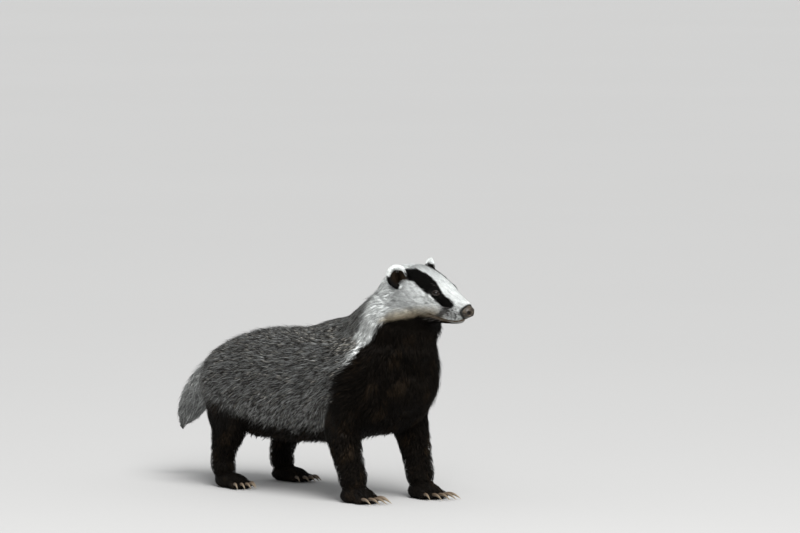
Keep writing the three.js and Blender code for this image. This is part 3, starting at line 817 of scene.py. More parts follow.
@dataclass
class CoatMap:
    """Where the badger is white, black or grizzled, and how its hair lies, by place in millimetres."""

    white: Colour = (0.88, 0.905, 0.89)
    cream: Colour = (0.52, 0.45, 0.32)
    black: Colour = (0.0045, 0.004, 0.0035)
    chest: Colour = (0.0055, 0.004, 0.0027)
    brown: Colour = (0.05, 0.032, 0.017)
    grey: Colour = (0.42, 0.43, 0.415)
    speckle: Colour = (0.10, 0.10, 0.095)
    lip: Colour = (0.11, 0.075, 0.04)
    stripe: Route = field(default_factory=lambda: [
        (88, 22, 8.5, 7.2), (81, 23, 9.8, 9.2), (68, 27, 17.3, 9.8), (59.5, 28.5, 24.5, 11),
        (47, 29, 33.5, 14.5), (30, 30, 43.5, 15.5), (16, 32, 47, 16.5), (4, 36, 47, 15.5),
    ])
    branch: Route = field(default_factory=lambda: [(84, 24, 2, 5.5), (80, 24, -7, 4.8), (72, 24, -16, 4.0)])
    throat: Table = (  # height of the black throat's edge, by place ahead in the head
        (-14, -60), (-2, -43), (4, -36), (20, -30), (37, -23), (61, -20), (85, -21), (92, -22.5),
        (104, -26),
    )
    grey_edge: Table = (  # x of the grizzled coat's front edge, by height
        (120, -60), (150, -46), (175, -34), (207, -22), (233, -9), (254, -4), (275, -2), (295, 6),
        (310, 14), (325, 18), (341, 24), (356, 24),
    )
    white_edge: Table = (  # x of the white neck band's front edge, by height
        (225, -12), (233, 1), (253, 11), (267, 22), (276, 31), (290, 40), (304, 56), (310, 64),
        (313, 80), (318, 92),
    )
    belly_edge: Table = (  # height of the grizzled coat's lower edge, by x
        (-460, 165), (-400, 158), (-340, 152), (-290, 140), (-240, 126), (-160, 120), (-60, 124),
    )
    body_long: Table = ((0, 6), (25, 9), (60, 13), (110, 18), (150, 30), (190, 42))  # by height
    body_wide: Table = ((0, 0.9), (60, 1.5), (110, 1.8), (150, 1.6), (190, 1.25))  # by height
    face_long: Table = ((-60, 34), (-30, 28), (-5, 19), (20, 13), (50, 8.5), (80, 6), (105, 3.5))
    face_wide: Table = ((-40, 1.0), (0, 0.95), (20, 0.88), (60, 0.75), (100, 0.62))

    @staticmethod
    def off_route(spots: Array, route: Route) -> Array:
        """Distance from each place to the edge of a band that follows a route, below 0 inside it.

        Args:
            spots: Places, one a row.
            route: Places with the band's half width at each.

        Returns:
            One distance for each place.
        """
        line = np.array(route)
        best = np.full(len(spots), 1e9)
        for start, end in zip(line[:-1], line[1:]):
            run = end[:3] - start[:3]
            share = np.clip(((spots - start[:3]) @ run) / (run @ run), 0, 1)
            gap = np.linalg.norm(spots - start[:3] - share[:, None] * run, axis=1)
            best = np.minimum(best, gap - start[3] - share * (end[3] - start[3]))
        return best

    @staticmethod
    def mirrored(spots: Array) -> tuple[Array, Array]:
        """Places in the badger's frame, in the head's frame and folded onto its left side.

        Args:
            spots: Places in the badger's frame.

        Returns:
            The folded head places, and the side that each was on.
        """
        head = HEAD.from_badger(spots)
        side = np.where(head[:, 1] < 0, -1.0, 1.0)
        return head * np.stack([np.ones_like(side), side, np.ones_like(side)], axis=1), side

    @staticmethod
    def on_head(head: Array, further: float = 0.0) -> Array:
        """How far each place belongs to the head and not to the neck, which begins that much further back."""
        level = np.maximum(0, -32 - head[:, 2]) * 4
        return smooth(-46, -20, head[:, 0] - level + further)

    def tones(self, spots: Array) -> tuple[Array, Array]:
        """The markings, with painted shade and light in streaks between the hair's clumps.

        Args:
            spots: Places in the badger's frame.

        Returns:
            The hair's main colour at each place, and how far it is banded grey.
        """
        head, _ = self.mirrored(spots)
        body, banded = self.body_tones(spots)
        share = self.on_head(head, 16.0)
        nape = smooth(-38, -62, head[:, 0]) * smooth(5, 20, head[:, 2])
        greyed = nape * 0.6 * smooth(-2, 4, self.off_route(head, self.stripe))
        face = mix(self.face_tones(spots, head), np.array(self.grey), greyed)
        tone, grizzle = mix(body, face, share), banded * (1 - share) + share * nape * 0.4
        # Painted shade and light between hair clumps: streaks of darker and lighter tone along the lie,
        # stronger on the cheeks than on the forehead.
        comb = combed(spots, self.lie(spots), 0.88)
        clump_shade = wander(comb, 9, 31) + wander(comb, 4.2, 32)
        clump_shade *= 0.10 + 0.16 * smooth(18, 34, np.abs(head[:, 1]))
        return self.ear_tones(spots, tone) * np.clip(1.02 + clump_shade, 0.45, 1.12)[:, None], grizzle

    def face_tones(self, spots: Array, head: Array) -> Array:
        """The colours of the face: white with black stripes, a cream jaw and a speckled muzzle.

        Args:
            spots: Places in the badger's frame.
            head: The same places in the head's frame, folded onto its left side.

        Returns:
            One colour for each place.
        """
        ragged = wander(spots, 14, 3) * 0.9 + wander(spots, 4, 4) * 0.8
        above = head[:, 2] - read_off(self.throat, head[:, 0]) + ragged
        jaw = smooth(88, 60, head[:, 0])
        face = mix(np.array([self.white]), np.array(self.cream), smooth(25, 4, above) * jaw * 0.9)
        face = mix(face, np.array(self.lip), smooth(8, 0, above) * jaw * 0.7)
        pad = np.exp(-(((head - (94, 15, -6)) / (15, 15, 11)) ** 2).sum(axis=1))
        spotted = smooth(-0.1, 0.5, wander(spots, 4.2, 8) + 0.5 * wander(spots, 2.2, 14))
        face = mix(face, np.array(self.speckle), np.clip(pad * (0.25 + 1.3 * spotted), 0, 0.95))
        face = mix(face, np.array(self.chest), smooth(2.2, -2.6, above) * smooth(104, 92, head[:, 0]))
        striped = smooth(1.6, -1.6, self.off_route(head, self.stripe) + ragged)
        branched = smooth(2.6, -1.6, self.off_route(head, self.branch) + ragged) * 0.85
        face = mix(mix(face, np.array(self.black), striped), np.array(self.black), branched)
        off, along = mouth_line(head)
        lower = smooth(1.5, 0.2, off) * smooth(-6.5, -3.5, off) * along
        face = mix(face, np.array(self.lip), lower * np.where(off > -1.5, 1.0, 0.6))
        face = mix(face, np.array(self.speckle) * 0.3, smooth(1.3, 1.15, from_nose(head)))
        return mix(face, np.array(self.black), smooth(1.5, 1.2, self.round_eye(head)))

    def body_tones(self, spots: Array) -> tuple[Array, Array]:
        """The colours of the body: grizzled above, with a white band on the neck, and dark below.

        Args:
            spots: Places in the badger's frame.

        Returns:
            The hair's main colour at each place, and how far it is banded grey.
        """
        x, z = spots[:, 0], spots[:, 2]
        wild = wander(spots, 34, 5) * 5 + wander(spots, 12, 6) * 3.5
        behind = x - read_off(self.grey_edge, z) + wild
        banded = smooth(5, -5, behind) * smooth(-12, 12, z - read_off(self.belly_edge, x) + wild * 1.5)
        band = smooth(4, -4, x - read_off(self.white_edge, z) + wild * 0.7) * smooth(-6, 6, behind)
        band *= smooth(222, 240, z)
        warm = smooth(0.2, 0.9, wander(spots, 60, 9) + wander(spots, 17, 10) * 0.5)
        body = mix(np.array([self.chest]), np.array(self.brown), warm * 0.2 * smooth(320, 250, z))
        body = mix(body, np.array(self.white) * 0.97, band)
        shade = (1.0 + 0.16 * wander(spots, 45, 11)) * (0.62 + 0.38 * smooth(180, 290, z))
        body = mix(body, np.array(self.grey) * shade[:, None], banded)
        tail = smooth(-430, -470, x)
        paler = tail * smooth(0, 14, z - 55 - 0.5 * (x + 430)) * 0.8
        body = mix(body, np.array(self.white) * 0.72, paler)
        return body, np.maximum(banded, tail) * (1 - 0.55 * tail)

    def ear_tones(self, spots: Array, tone: Array) -> Array:
        """Lays the ears' dark cups and broad white rims over the other markings."""
        black, white = np.array(self.black), np.array(self.white)
        ruddy = np.array(self.brown) * 0.35
        for ear in EARS:
            own, reach, held = ear.pose.from_badger(spots), ear.reach(spots), ear.holds(spots)
            inner = black + (ruddy - black) * smooth(0.9, 0.3, reach)[:, None]
            ahead = -ear.sign * own[:, 1]
            high = own[:, 2] + 0.35 * ahead + wander(spots, 5, 13) * 1.5
            rim = smooth(0.64, 0.78, reach + wander(spots, 4, 12) * 0.04 + 0.006 * high) * smooth(-1, 6, high)
            marked = mix(inner, white, rim)
            under = smooth(-10, -15, own[:, 2] - 0.9 * ahead + wander(spots, 5, 15) * 1.5)
            tone = mix(tone, marked, held * (1 - under))
        return tone

    def bare(self, spots: Array) -> Array:
        """How far each place is bare skin: lids, nose, lips and soles."""
        head, _ = self.mirrored(spots)
        off, along = mouth_line(head)
        mouth = smooth(1.3, 0.7, np.abs(off)) * along
        sole = smooth(3.0, 1.2, spots[:, 2])
        eye = smooth(1.35, 1.2, self.round_eye(head))
        return np.maximum.reduce([eye, smooth(1.05, 0.98, from_nose(head)), mouth, sole])

    @staticmethod
    def round_eye(head: Array) -> Array:
        """How far folded head places lie from the middle of the left eye: 1 on the edge of its opening."""
        eye = EyeSet(1)
        own = eye.pose.from_badger(head)
        return np.where(own[:, 2] > -4, eye.opening(own), 9.0)

    def lie(self, spots: Array) -> Array:
        """The way the hair lies, from root to tip.

        Args:
            spots: Places in the badger's frame.

        Returns:
            One unit vector for each place.
        """
        head, side = self.mirrored(spots)
        x, y, z = spots.T
        flow = mix(Way.BACK.vector, Way.FLANK.vector, smooth(230, 120, z))
        flow = mix(flow, Way.RUMP.vector, smooth(-380, -450, x))
        neck = smooth(-60, 10, past_collar(spots) + np.maximum(0, x - 20) * 0.8)
        flow = mix(flow, Way.NECK.vector, neck)
        flow = mix(flow, Way.CHEST.vector, smooth(20, 60, x) * smooth(330, 290, z))
        for leg in LEGS:
            middle = leg.loft.line[3]
            near = np.abs(x - middle[0]) + 0.5 * np.abs(y - middle[1])
            flow = mix(flow, Way.LEG.vector, smooth(84, 46, near) * smooth(190, 120, z))
            flow = mix(flow, Way.FOOT.vector, smooth(40, 22, z) * smooth(110, 70, near))
        drop = smooth(10, -30, head[:, 2]) * smooth(80, 30, head[:, 0])
        rise = smooth(60, 20, head[:, 0])
        own = np.stack([-np.ones_like(x), 0.12 * rise, -0.12 * rise - 0.4 * drop], axis=1)
        away = head - EYE_SPOT
        gap = np.linalg.norm(away, axis=1, keepdims=True)
        own = own + 0.9 * away / gap * np.exp(-((gap / 10) ** 2))
        own[:, 1] *= side
        share = smooth(-62, 30, head[:, 0] - np.maximum(0, -32 - head[:, 2]) * 3)
        flow = mix(flow, own @ HEAD.turn.T, share)
        for ear in EARS:
            cup = ear.pose.from_badger(spots)
            far = np.clip(ear.reach(spots), 0, 1)[:, None]
            up = np.array([0.2, -0.35 * ear.sign, 0.75])
            out = unit(cup * (0, 1, 1)) * (0.15 + far**2) + up * (1.1 - far)
            flow = np.where(ear.holds(spots)[:, None], out @ ear.pose.turn.T, flow)
        return unit(flow)

    def measures(self, spots: Array) -> tuple[Array, ...]:
        """How the coat grows.

        Args:
            spots: Places in the badger's frame.

        Returns:
            Length of a tuft, how far its tip stands over the skin at least and at most, and its width.
        """
        head, _ = self.mirrored(spots)
        x, _, z = spots.T
        long, wide = read_off(self.body_long, z), read_off(self.body_wide, z)
        upper = smooth(255, 320, z) * smooth(-60, 0, x)
        chest = smooth(20, 60, x) * smooth(110, 150, z)
        long, wide = long - 10 * np.maximum(upper, chest), wide - 0.25 * np.maximum(upper, chest)
        tail = smooth(-430, -480, x)
        long, wide = long + (46 - long) * tail, wide + (1.8 - wide) * tail
        back = smooth(255, 290, z) * smooth(-330, -250, x)
        breast = smooth(35, 60, x) * smooth(262, 240, z) * smooth(120, 150, z)
        most = 18 - 12.5 * back - 12 * breast
        share = self.on_head(head)
        cheek = smooth(5, -25, head[:, 2]) * smooth(70, 10, head[:, 0])
        long = mix(long, read_off(self.face_long, head[:, 0]) + 7 * cheek, share)
        wide = mix(wide, read_off(self.face_wide, head[:, 0]), share)
        most = mix(most, 18 - 14 * smooth(10, -20, head[:, 0]) * smooth(25, 45, head[:, 2]), share)
        least = 0.2 + 0.1 * long
        for ear in EARS:
            held, rim = ear.holds(spots), smooth(0.6, 0.95, ear.reach(spots))
            long, wide = np.where(held, 3.2 + 1.0 * rim, long), np.where(held, 0.7, wide)
            least, most = np.where(held, 1.0 + 1.4 * rim, least), np.where(held, 1.2 + 1.6 * rim, most)
        return long, least, most, wide


class Tuft(Enum):
    """The two kinds of tuft: where each corner lies across and along it, and the faces between them.

    A short one is a thin blade of four faces. A long one has a ring at its middle too, where it bends.
    """

    SHORT = ([(-1, 0), (0, 0), (1, 0), (0, 1)], [(0, 1, 2), (0, 3, 1), (1, 3, 2), (2, 3, 0)])
    LONG = (
        [(-1, 0), (0, 0), (1, 0), (-1, 0.5), (0, 0.5), (1, 0.5), (0, 1)],
        [
            (0, 1, 2), (0, 3, 1), (1, 3, 4), (1, 4, 2), (2, 4, 5), (2, 5, 0), (0, 5, 3), (3, 6, 4), (4, 6, 5),
            (5, 6, 3),
        ],
    )

    @property
    def corners(self) -> Array:
        """Where each corner lies, across from -1 to 1 and along from 0 to 1."""
        return np.array(self.value[0])

    @property
    def faces(self) -> Array:
        """The corners of each face."""
        return np.array(self.value[1])


class Field(Enum):
    """The pieces of the coat: the slot of each, the number of its tufts and the side that it is on."""

    FACE_LEFT = ("face_fur", 36000, "left")
    FACE_RIGHT = ("face_fur", 36000, "right")
    EARS = ("face_fur", 8500, "both")
    NECK_LEFT = ("dark_fur", 13500, "left")
    NECK_RIGHT = ("dark_fur", 13500, "right")
    CHEST = ("dark_fur", 13500, "front")
    BACK = ("grizzled_coat", 18000, "top")
    FLANK_LEFT = ("grizzled_coat", 16500, "left")
    FLANK_RIGHT = ("grizzled_coat", 16500, "right")
    BELLY = ("dark_fur", 5400, "under")
    LEGS = ("dark_fur", 13000, "both")
    TAIL = ("grizzled_coat", 6500, "rear")

    @property
    def slot(self) -> str:
        """The record's slot that it takes its finish from."""
        return self.value[0]

    @property
    def tufts(self) -> int:
        """How many tufts it has."""
        return self.value[1]

    @property
    def tuft(self) -> Tuft:
        """The kind of tuft that it is made of."""
        return Tuft.SHORT if self in (Field.FACE_LEFT, Field.FACE_RIGHT, Field.EARS) else Tuft.LONG

    @property
    def title(self) -> str:
        """Its object's name."""
        return f"coat_{self.name.lower()}"

    @classmethod
    def sort(cls, spots: Array, normals: Array) -> Array:
        """The piece of the coat that each place of the skin belongs to.

        Args:
            spots: Places in the badger's frame.
            normals: The skin's directions there.

        Returns:
            The number of the field for each place.
        """
        number = {kind: place for place, kind in enumerate(cls)}
        head = HEAD.from_badger(spots)
        x, y, z = spots.T
        over = past_collar(spots)
        near = np.minimum(np.abs(x + 10), np.abs(x + 345))
        face = head[:, 0] - np.maximum(0, -32 - head[:, 2]) * 4 > 4
        kinds = np.where(y > 0, number[cls.FLANK_LEFT], number[cls.FLANK_RIGHT])
        for kind, held in (
            (cls.BACK, (normals[:, 2] > 0.5) & (z > 200)),
            (cls.BELLY, (normals[:, 2] < -0.45) & (z < 150)),
            (cls.CHEST, (x > -10) & (over < 0)),
            (cls.NECK_LEFT, (over >= 0) & (y > 0)),
            (cls.NECK_RIGHT, (over >= 0) & ~(y > 0)),
            (cls.LEGS, (z < 118) & (near < 62) & (np.abs(y) > 22)),
            (cls.TAIL, (x < -452) | ((x < -438) & (z > 196))),
            (cls.FACE_LEFT, face & (head[:, 1] >= 0)),
            (cls.FACE_RIGHT, face & (head[:, 1] < 0)),
            *((cls.EARS, ear.holds(spots)) for ear in EARS),
        ):
            kinds = np.where(held, number[kind], kinds)
        return kinds

    def unwrap(self, spots: Array, normals: Array) -> Array:
        """Flat places of roots on an unwrap of the skin's own shape, from 0 to 1.

        Args:
            spots: Roots in the badger's frame.
            normals: The skin's directions there.

        Returns:
            Two numbers for each root.
        """
        if self is Field.EARS:
            return self.unwrap_ears(spots, normals)
        if self in (Field.FACE_LEFT, Field.FACE_RIGHT):
            own, _ = CoatMap.mirrored(spots)
            around = np.arctan2(own[:, 2] - 0.1 * own[:, 0] - 5, own[:, 1]) / math.pi + 0.5
            return np.stack([(own[:, 0] + 70) / 195, around], axis=1)
        if self is Field.LEGS:
            flat = np.zeros((len(spots), 2))
            for number, leg in enumerate(LEGS):
                line = leg.loft.line
                mid_x, mid_y = (np.interp(spots[:, 2], line[::-1, 2], line[::-1, axis]) for axis in (0, 1))
                away = np.abs(spots[:, 0] - line[3][0]) < 130
                ours = away & (np.sign(spots[:, 1]) == leg.sign)
                angle = np.arctan2(spots[:, 1] - mid_y, spots[:, 0] - mid_x) / (2 * math.pi) + 0.5
                column = np.stack([(number + angle * 0.96) / 4, spots[:, 2] / 130], axis=1)
                flat = np.where(ours[:, None], column, flat)
            return flat
        if self is Field.TAIL:
            start, axis = np.array([-440.0, 0, 204]), unit(np.array([-0.72, 0, -0.69]))
        elif self in (Field.NECK_LEFT, Field.NECK_RIGHT):
            start, axis = np.array([-20.0, 4, 235]), unit(np.array([0.5, 0.08, 0.86]))
        else:
            start, axis = np.array([-480.0, 0, 175]), np.array([1.0, 0, 0])
        side = unit(np.cross(axis, [0.3, 0, 1.0] if abs(axis[0]) < 0.9 else [0, 0, 1.0]))
        off = spots - start
        angle = np.arctan2(off @ np.cross(side, axis), off @ side) / (2 * math.pi) + 0.5
        along = off @ axis
        return np.stack([angle, (along - along.min()) / max(1.0, np.ptp(along))], axis=1)

    @staticmethod
    def unwrap_ears(spots: Array, normals: Array) -> Array:
        """The ears unwrapped as four flat faces: front and back of each."""
        flat = np.zeros((len(spots), 2))
        for number, ear in enumerate(EARS):
            own = ear.pose.from_badger(spots)
            behind = (normals @ ear.pose.turn[:, 0] < 0).astype(float)
            across, high = (own[:, 1] / 24 + 1) / 4 + number / 2, (own[:, 2] / 26 + 1) / 4 + behind / 2
            ours = np.sign(HEAD.from_badger(spots)[:, 1]) == ear.sign
            flat = np.where(ours[:, None], np.stack([across, high], axis=1), flat)
        return flat


@dataclass
class Coat:
    """The coat: thin solid tufts that grow from the skin and lie along it."""

    skin: Skin
    coat_map: CoatMap
    patch: float = 0.003  # size of a tuft on the flat map
    shown: float = 0.65  # how far along a tuft the markings are looked up
    lowest: float = 0.4
    stray: float = 0.05  # share of the tufts that stand out of line

    def __post_init__(self) -> None:
        """Reads the skin once: its triangles, smooth directions and a tree for the nearest place on it."""
        mesh = self.skin.body.data
        mesh.calc_loop_triangles()
        self.places = WHOLE.from_row(vectors_of(mesh))
        self.faces = np.empty(len(mesh.loop_triangles) * 3, dtype=np.int32)
        mesh.loop_triangles.foreach_get("vertices", self.faces)
        self.faces = self.faces.reshape(-1, 3)
        self.out = self.softened(vectors_of(mesh, "normal"), 6)
        self.tree = BVHTree.FromPolygons(self.places.tolist(), self.faces.tolist())
        self.outline = self.skin.tips()
        self.draw = np.random.default_rng(SEED)

    def softened(self, out: Array, rounds: int) -> Array:
        """The skin's directions, evened out over neighbouring corners."""
        for _ in range(rounds):
            gathered = np.zeros_like(out)
            shared = unit(out[self.faces].sum(axis=1))
            for corner in range(3):
                np.add.at(gathered, self.faces[:, corner], shared)
            out = unit(gathered + 1e-9)
        return out

    def settle(self, spots: Array) -> tuple[Array, Array]:
        """Drops places onto the skin.

        Args:
            spots: Places near the skin.

        Returns:
            The nearest places on it, and its directions there.
        """
        near, faces = np.empty_like(spots), np.empty(len(spots), dtype=np.int64)
        for number, spot in enumerate(spots.tolist()):
            place, _, face, _ = self.tree.find_nearest(spot)
            near[number], faces[number] = place, face
        return near, unit(self.out[self.faces[faces]].sum(axis=1))

    def roots(self, count: int, wanted: Array, area: Array) -> tuple[Array, Array]:
        """Draws roots evenly over some of the skin's triangles.

        Args:
            count: How many.
            wanted: Numbers of the triangles.
            area: Area of every triangle of the skin, 0 where it is bare.

        Returns:
            Places, and the skin's directions there.
        """
        reach = np.cumsum(area[wanted])
        drawn = (np.arange(count) + self.draw.random(count)) / count * reach[-1] * 0.9999
        pick = wanted[np.searchsorted(reach, drawn)]
        a, b = self.draw.random((2, count))
        fold = a + b > 1
        a, b = np.where(fold, 1 - a, a), np.where(fold, 1 - b, b)
        weights = np.stack([1 - a - b, a, b], axis=1)[..., None]
        corners = self.faces[pick]
        return (self.places[corners] * weights).sum(axis=1), unit((self.out[corners] * weights).sum(axis=1))

    def room(self, spots: Array, out: Array) -> Array:
        """How far the outline of the tips lies over places of the skin."""
        near = np.array([tuple(self.outline.find_nearest(spot)[0]) for spot in spots.tolist()])
        return ((near - spots) * out).sum(axis=1)

    def heading(self, place: Array, outward: Array, sway: Array) -> Array:
        """The lie of the hair along the skin.

        Args:
            place: Places on the skin.
            outward: The skin's directions there.
            sway: How far each hair is turned aside.

        Returns:
            One unit vector for each place.
        """
        lie = self.coat_map.lie(place)
        lie = unit(lie - outward * (lie * outward).sum(axis=1, keepdims=True))
        return unit(lie + np.cross(outward, lie) * sway[:, None])

    def grow(self, spots: Array, out: Array, tuft: Tuft) -> Array:
        """Lets a tuft grow from each root.

        Args:
            spots: Roots on the skin.
            out: The skin's directions there.
            tuft: The kind of tuft.

        Returns:
            The places of every tuft's corners.
        """
        long, least, most, wide = self.coat_map.measures(spots)
        count = len(spots)
        wild = self.draw.normal(size=(4, count))
        stray = self.draw.random(count) < self.stray
        long = long * np.clip(1 + 0.16 * wild[0], 0.6, 1.5)
        spread = np.clip(0.92 + 0.16 * wild[1] + 0.22 * stray + 0.16 * wander(spots, 7, 23), 0.45, 1.5)
        lock = wander(spots, 30, 21) * 0.10 + wander(spots, 10, 22) * 0.12
        sway = lock + 0.10 * wild[2] + 0.25 * stray * wild[3]
        half = (wide * np.clip(1 + 0.2 * wild[3], 0.6, 1.5) * np.where(stray, 0.6, 1.0) / 2)[:, None]
        rings, place, outward = [], spots, out
        steps = [(0.0, 1.0), (1.0, 0.0)] if tuft is Tuft.SHORT else [(0.0, 0.62), (0.74, 1.0), (1.0, 0.0)]
        for number, (lift, thick) in enumerate(steps):
            deep = np.clip(self.room(place, outward), least, most) * spread * (lift or -0.1)
            centre = place + outward * deep[:, None]
            if not thick:
                break
            way = self.heading(place, outward, sway * (1 + 0.3 * number))
            flat = np.cross(way, outward) * half * thick
            rings += [centre - flat, centre + outward * half * 0.55 * thick, centre + flat]
            place, outward = self.settle(place + way * (long / (len(steps) - 1))[:, None])
        return np.stack([*rings, centre], axis=1)

    def piece(self, kind: Field, wanted: Array, area: Array, finish: "FurFinish") -> None:
        """Makes one piece of the coat.

        Args:
            kind: Which piece.
            wanted: Numbers of the skin's triangles under it.
            area: Area of every triangle of the skin, 0 where it is bare.
            finish: Its finish.
        """
        spots, normals = self.roots(kind.tufts, wanted, area)
        verts = self.grow(spots, normals, kind.tuft)
        verts[:, :, 2] = np.maximum(verts[:, :, 2], self.lowest)
        count, local = len(spots), kind.tuft.corners
        each = len(local)
        faces = (kind.tuft.faces[None] + (np.arange(count) * each)[:, None, None]).reshape(-1, 3)
        mesh = bpy.data.meshes.new(kind.title)
        mesh.vertices.add(count * each)
        mesh.vertices.foreach_set("co", WHOLE.to_row(verts.reshape(-1, 3)).ravel())
        mesh.loops.add(len(faces) * 3)
        mesh.loops.foreach_set("vertex_index", faces.ravel())
        mesh.polygons.add(len(faces))
        mesh.polygons.foreach_set("loop_start", np.arange(0, len(faces) * 3, 3))
        mesh.update(calc_edges=True)
        mesh.shade_smooth()
        flat = kind.unwrap(spots, normals)[:, None, :] * 0.99 + 0.005
        flat = flat + (local * (0.5, 1.0) - (0, 0.5)) * self.patch
        layer = mesh.uv_layers.new(name="OFBake")
        layer.data.foreach_set("uv", flat.reshape(-1, 2)[faces.ravel()].ravel())
        shown = verts[:, :3].mean(axis=1) * (1 - self.shown) + verts[:, -1] * self.shown
        tone, grizzle = self.coat_map.tones(shown)
        chance = self.draw.random(count)
        strand = np.concatenate([np.tile(local, (count, 1)), np.repeat(chance, each)[:, None]], axis=1)
        set_vector(mesh, "strand", strand)
        set_colour(mesh, "tone", np.repeat(tone, each, axis=0))
        set_number(mesh, "grizzle", np.repeat(grizzle, each))
        mesh.materials.append(finish.tuft_material())
        made = new_object(kind.title, mesh)
        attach(made, BODY)
        kind.slot
        LOG.info("%s: %d tufts, %d triangles", kind.title, count, len(faces))

    def build(self, finishes: dict[str, "FurFinish"]) -> None:
        """Makes every piece of the coat.

        Args:
            finishes: The finish for each slot.
        """
        corners = self.places[self.faces]
        middle, out = corners.mean(axis=1), unit(self.out[self.faces].sum(axis=1))
        across = np.cross(corners[:, 1] - corners[:, 0], corners[:, 2] - corners[:, 0])
        area = np.linalg.norm(across, axis=1) / 2
        area = area * np.where(self.coat_map.bare(middle) > 0.5, 0.0, 1.0)
        kinds = Field.sort(middle, out)
        for number, kind in enumerate(Field):
            wanted = np.nonzero((kinds == number) & (area > 0))[0]
            LOG.info("%s: %.0f square cm", kind.title, area[wanted].sum() / 100)
            self.piece(kind, wanted, area, finishes[kind.slot])


class Knots:
    """A small helper that lays and links shader nodes in one tree."""

    def __init__(self, tree: bpy.types.NodeTree) -> None:
        """Keeps the tree."""
        self.tree = tree

    def fill(self, node: bpy.types.Node, inputs: dict[str | int, object]) -> None:
        """Gives each named or numbered input of a node a value or a link from an output socket."""
        for name, value in inputs.items():
            if isinstance(value, bpy.types.NodeSocket):
                self.tree.links.new(value, node.inputs[name])
            else:
                node.inputs[name].default_value = value

    def add(
        self, kind: str, inputs: dict[str | int, object] | None = None, **settings: object
    ) -> bpy.types.Node:
        """Adds a node.

        Args:
            kind: Its type, such as ShaderNodeMix.
            inputs: A value or an output socket for each of its inputs, by name or number.
            settings: Its own settings.

        Returns:
            The node.
        """
        node = self.tree.nodes.new(kind)
        for name, value in settings.items():
            setattr(node, name, value)
        self.fill(node, inputs or {})
        return node

    def math(
        self, operation: str, first: object, second: object = 0.0, third: object = 0.0
    ) -> bpy.types.NodeSocket:
        """The output of a Math node."""
        return self.add("ShaderNodeMath", {0: first, 1: second, 2: third}, operation=operation).outputs[0]

    def blend(self, share: object, first: object, second: object, kind: str = "MIX") -> bpy.types.NodeSocket:
        """The output of a Mix node for colours."""
        inputs = {0: share, 6: first, 7: second}
        return self.add("ShaderNodeMix", inputs, data_type="RGBA", blend_type=kind).outputs[2]

    def noise(self, vector: object, scale: float, detail: float = 2.0) -> bpy.types.NodeSocket:
        """The value of a Noise Texture."""
        inputs = {"Vector": vector, "Scale": scale, "Detail": detail}
        return self.add("ShaderNodeTexNoise", inputs).outputs[0]

    def attribute(self, name: str, output: str) -> bpy.types.NodeSocket:
        """One output of an attribute that the mesh carries."""
        return self.add("ShaderNodeAttribute", attribute_name=name).outputs[output]

    def ramp(self, value: object, stops: list[tuple[float, Colour]]) -> bpy.types.NodeSocket:
        """The colour of a ramp with the given stops."""
        node = self.add("ShaderNodeValToRGB", {0: value})
        band = node.color_ramp
        while len(band.elements) < len(stops):
            band.elements.new(0.5)
        for element, (place, colour) in zip(band.elements, stops):
            element.position, element.color = place, (*colour, 1.0)
        return node.outputs[0]


def new_material(name: str) -> tuple[bpy.types.Material, Knots, bpy.types.Node]:
    """Starts a node material with one Principled BSDF.

    Args:
        name: The material's name.

    Returns:
        The material, its nodes' helper and its shader.
    """
    material = bpy.data.materials.new(name)
    material.use_nodes = True
    material.node_tree.nodes.clear()
    knots = Knots(material.node_tree)
    shader = knots.add("ShaderNodeBsdfPrincipled")
    knots.add("ShaderNodeOutputMaterial", {"Surface": shader.outputs[0]})
    return material, knots, shader


def finish_shader(knots: Knots, shader: bpy.types.Node, links: dict[str, object], height: object,
                  strength: float, distance: float) -> None:
    """Sets a shader's sockets and its bump.

    Args:
        knots: The material's nodes.
        shader: The Principled BSDF.
        links: A value or an output socket for each input by name.
        height: The bump's height.
        strength: The bump's strength.
        distance: The bump's depth in metres.
    """
    bump = knots.add("ShaderNodeBump", {"Height": height, "Strength": strength, "Distance": distance})
    knots.fill(shader, {**links, "Normal": bump.outputs[0]})


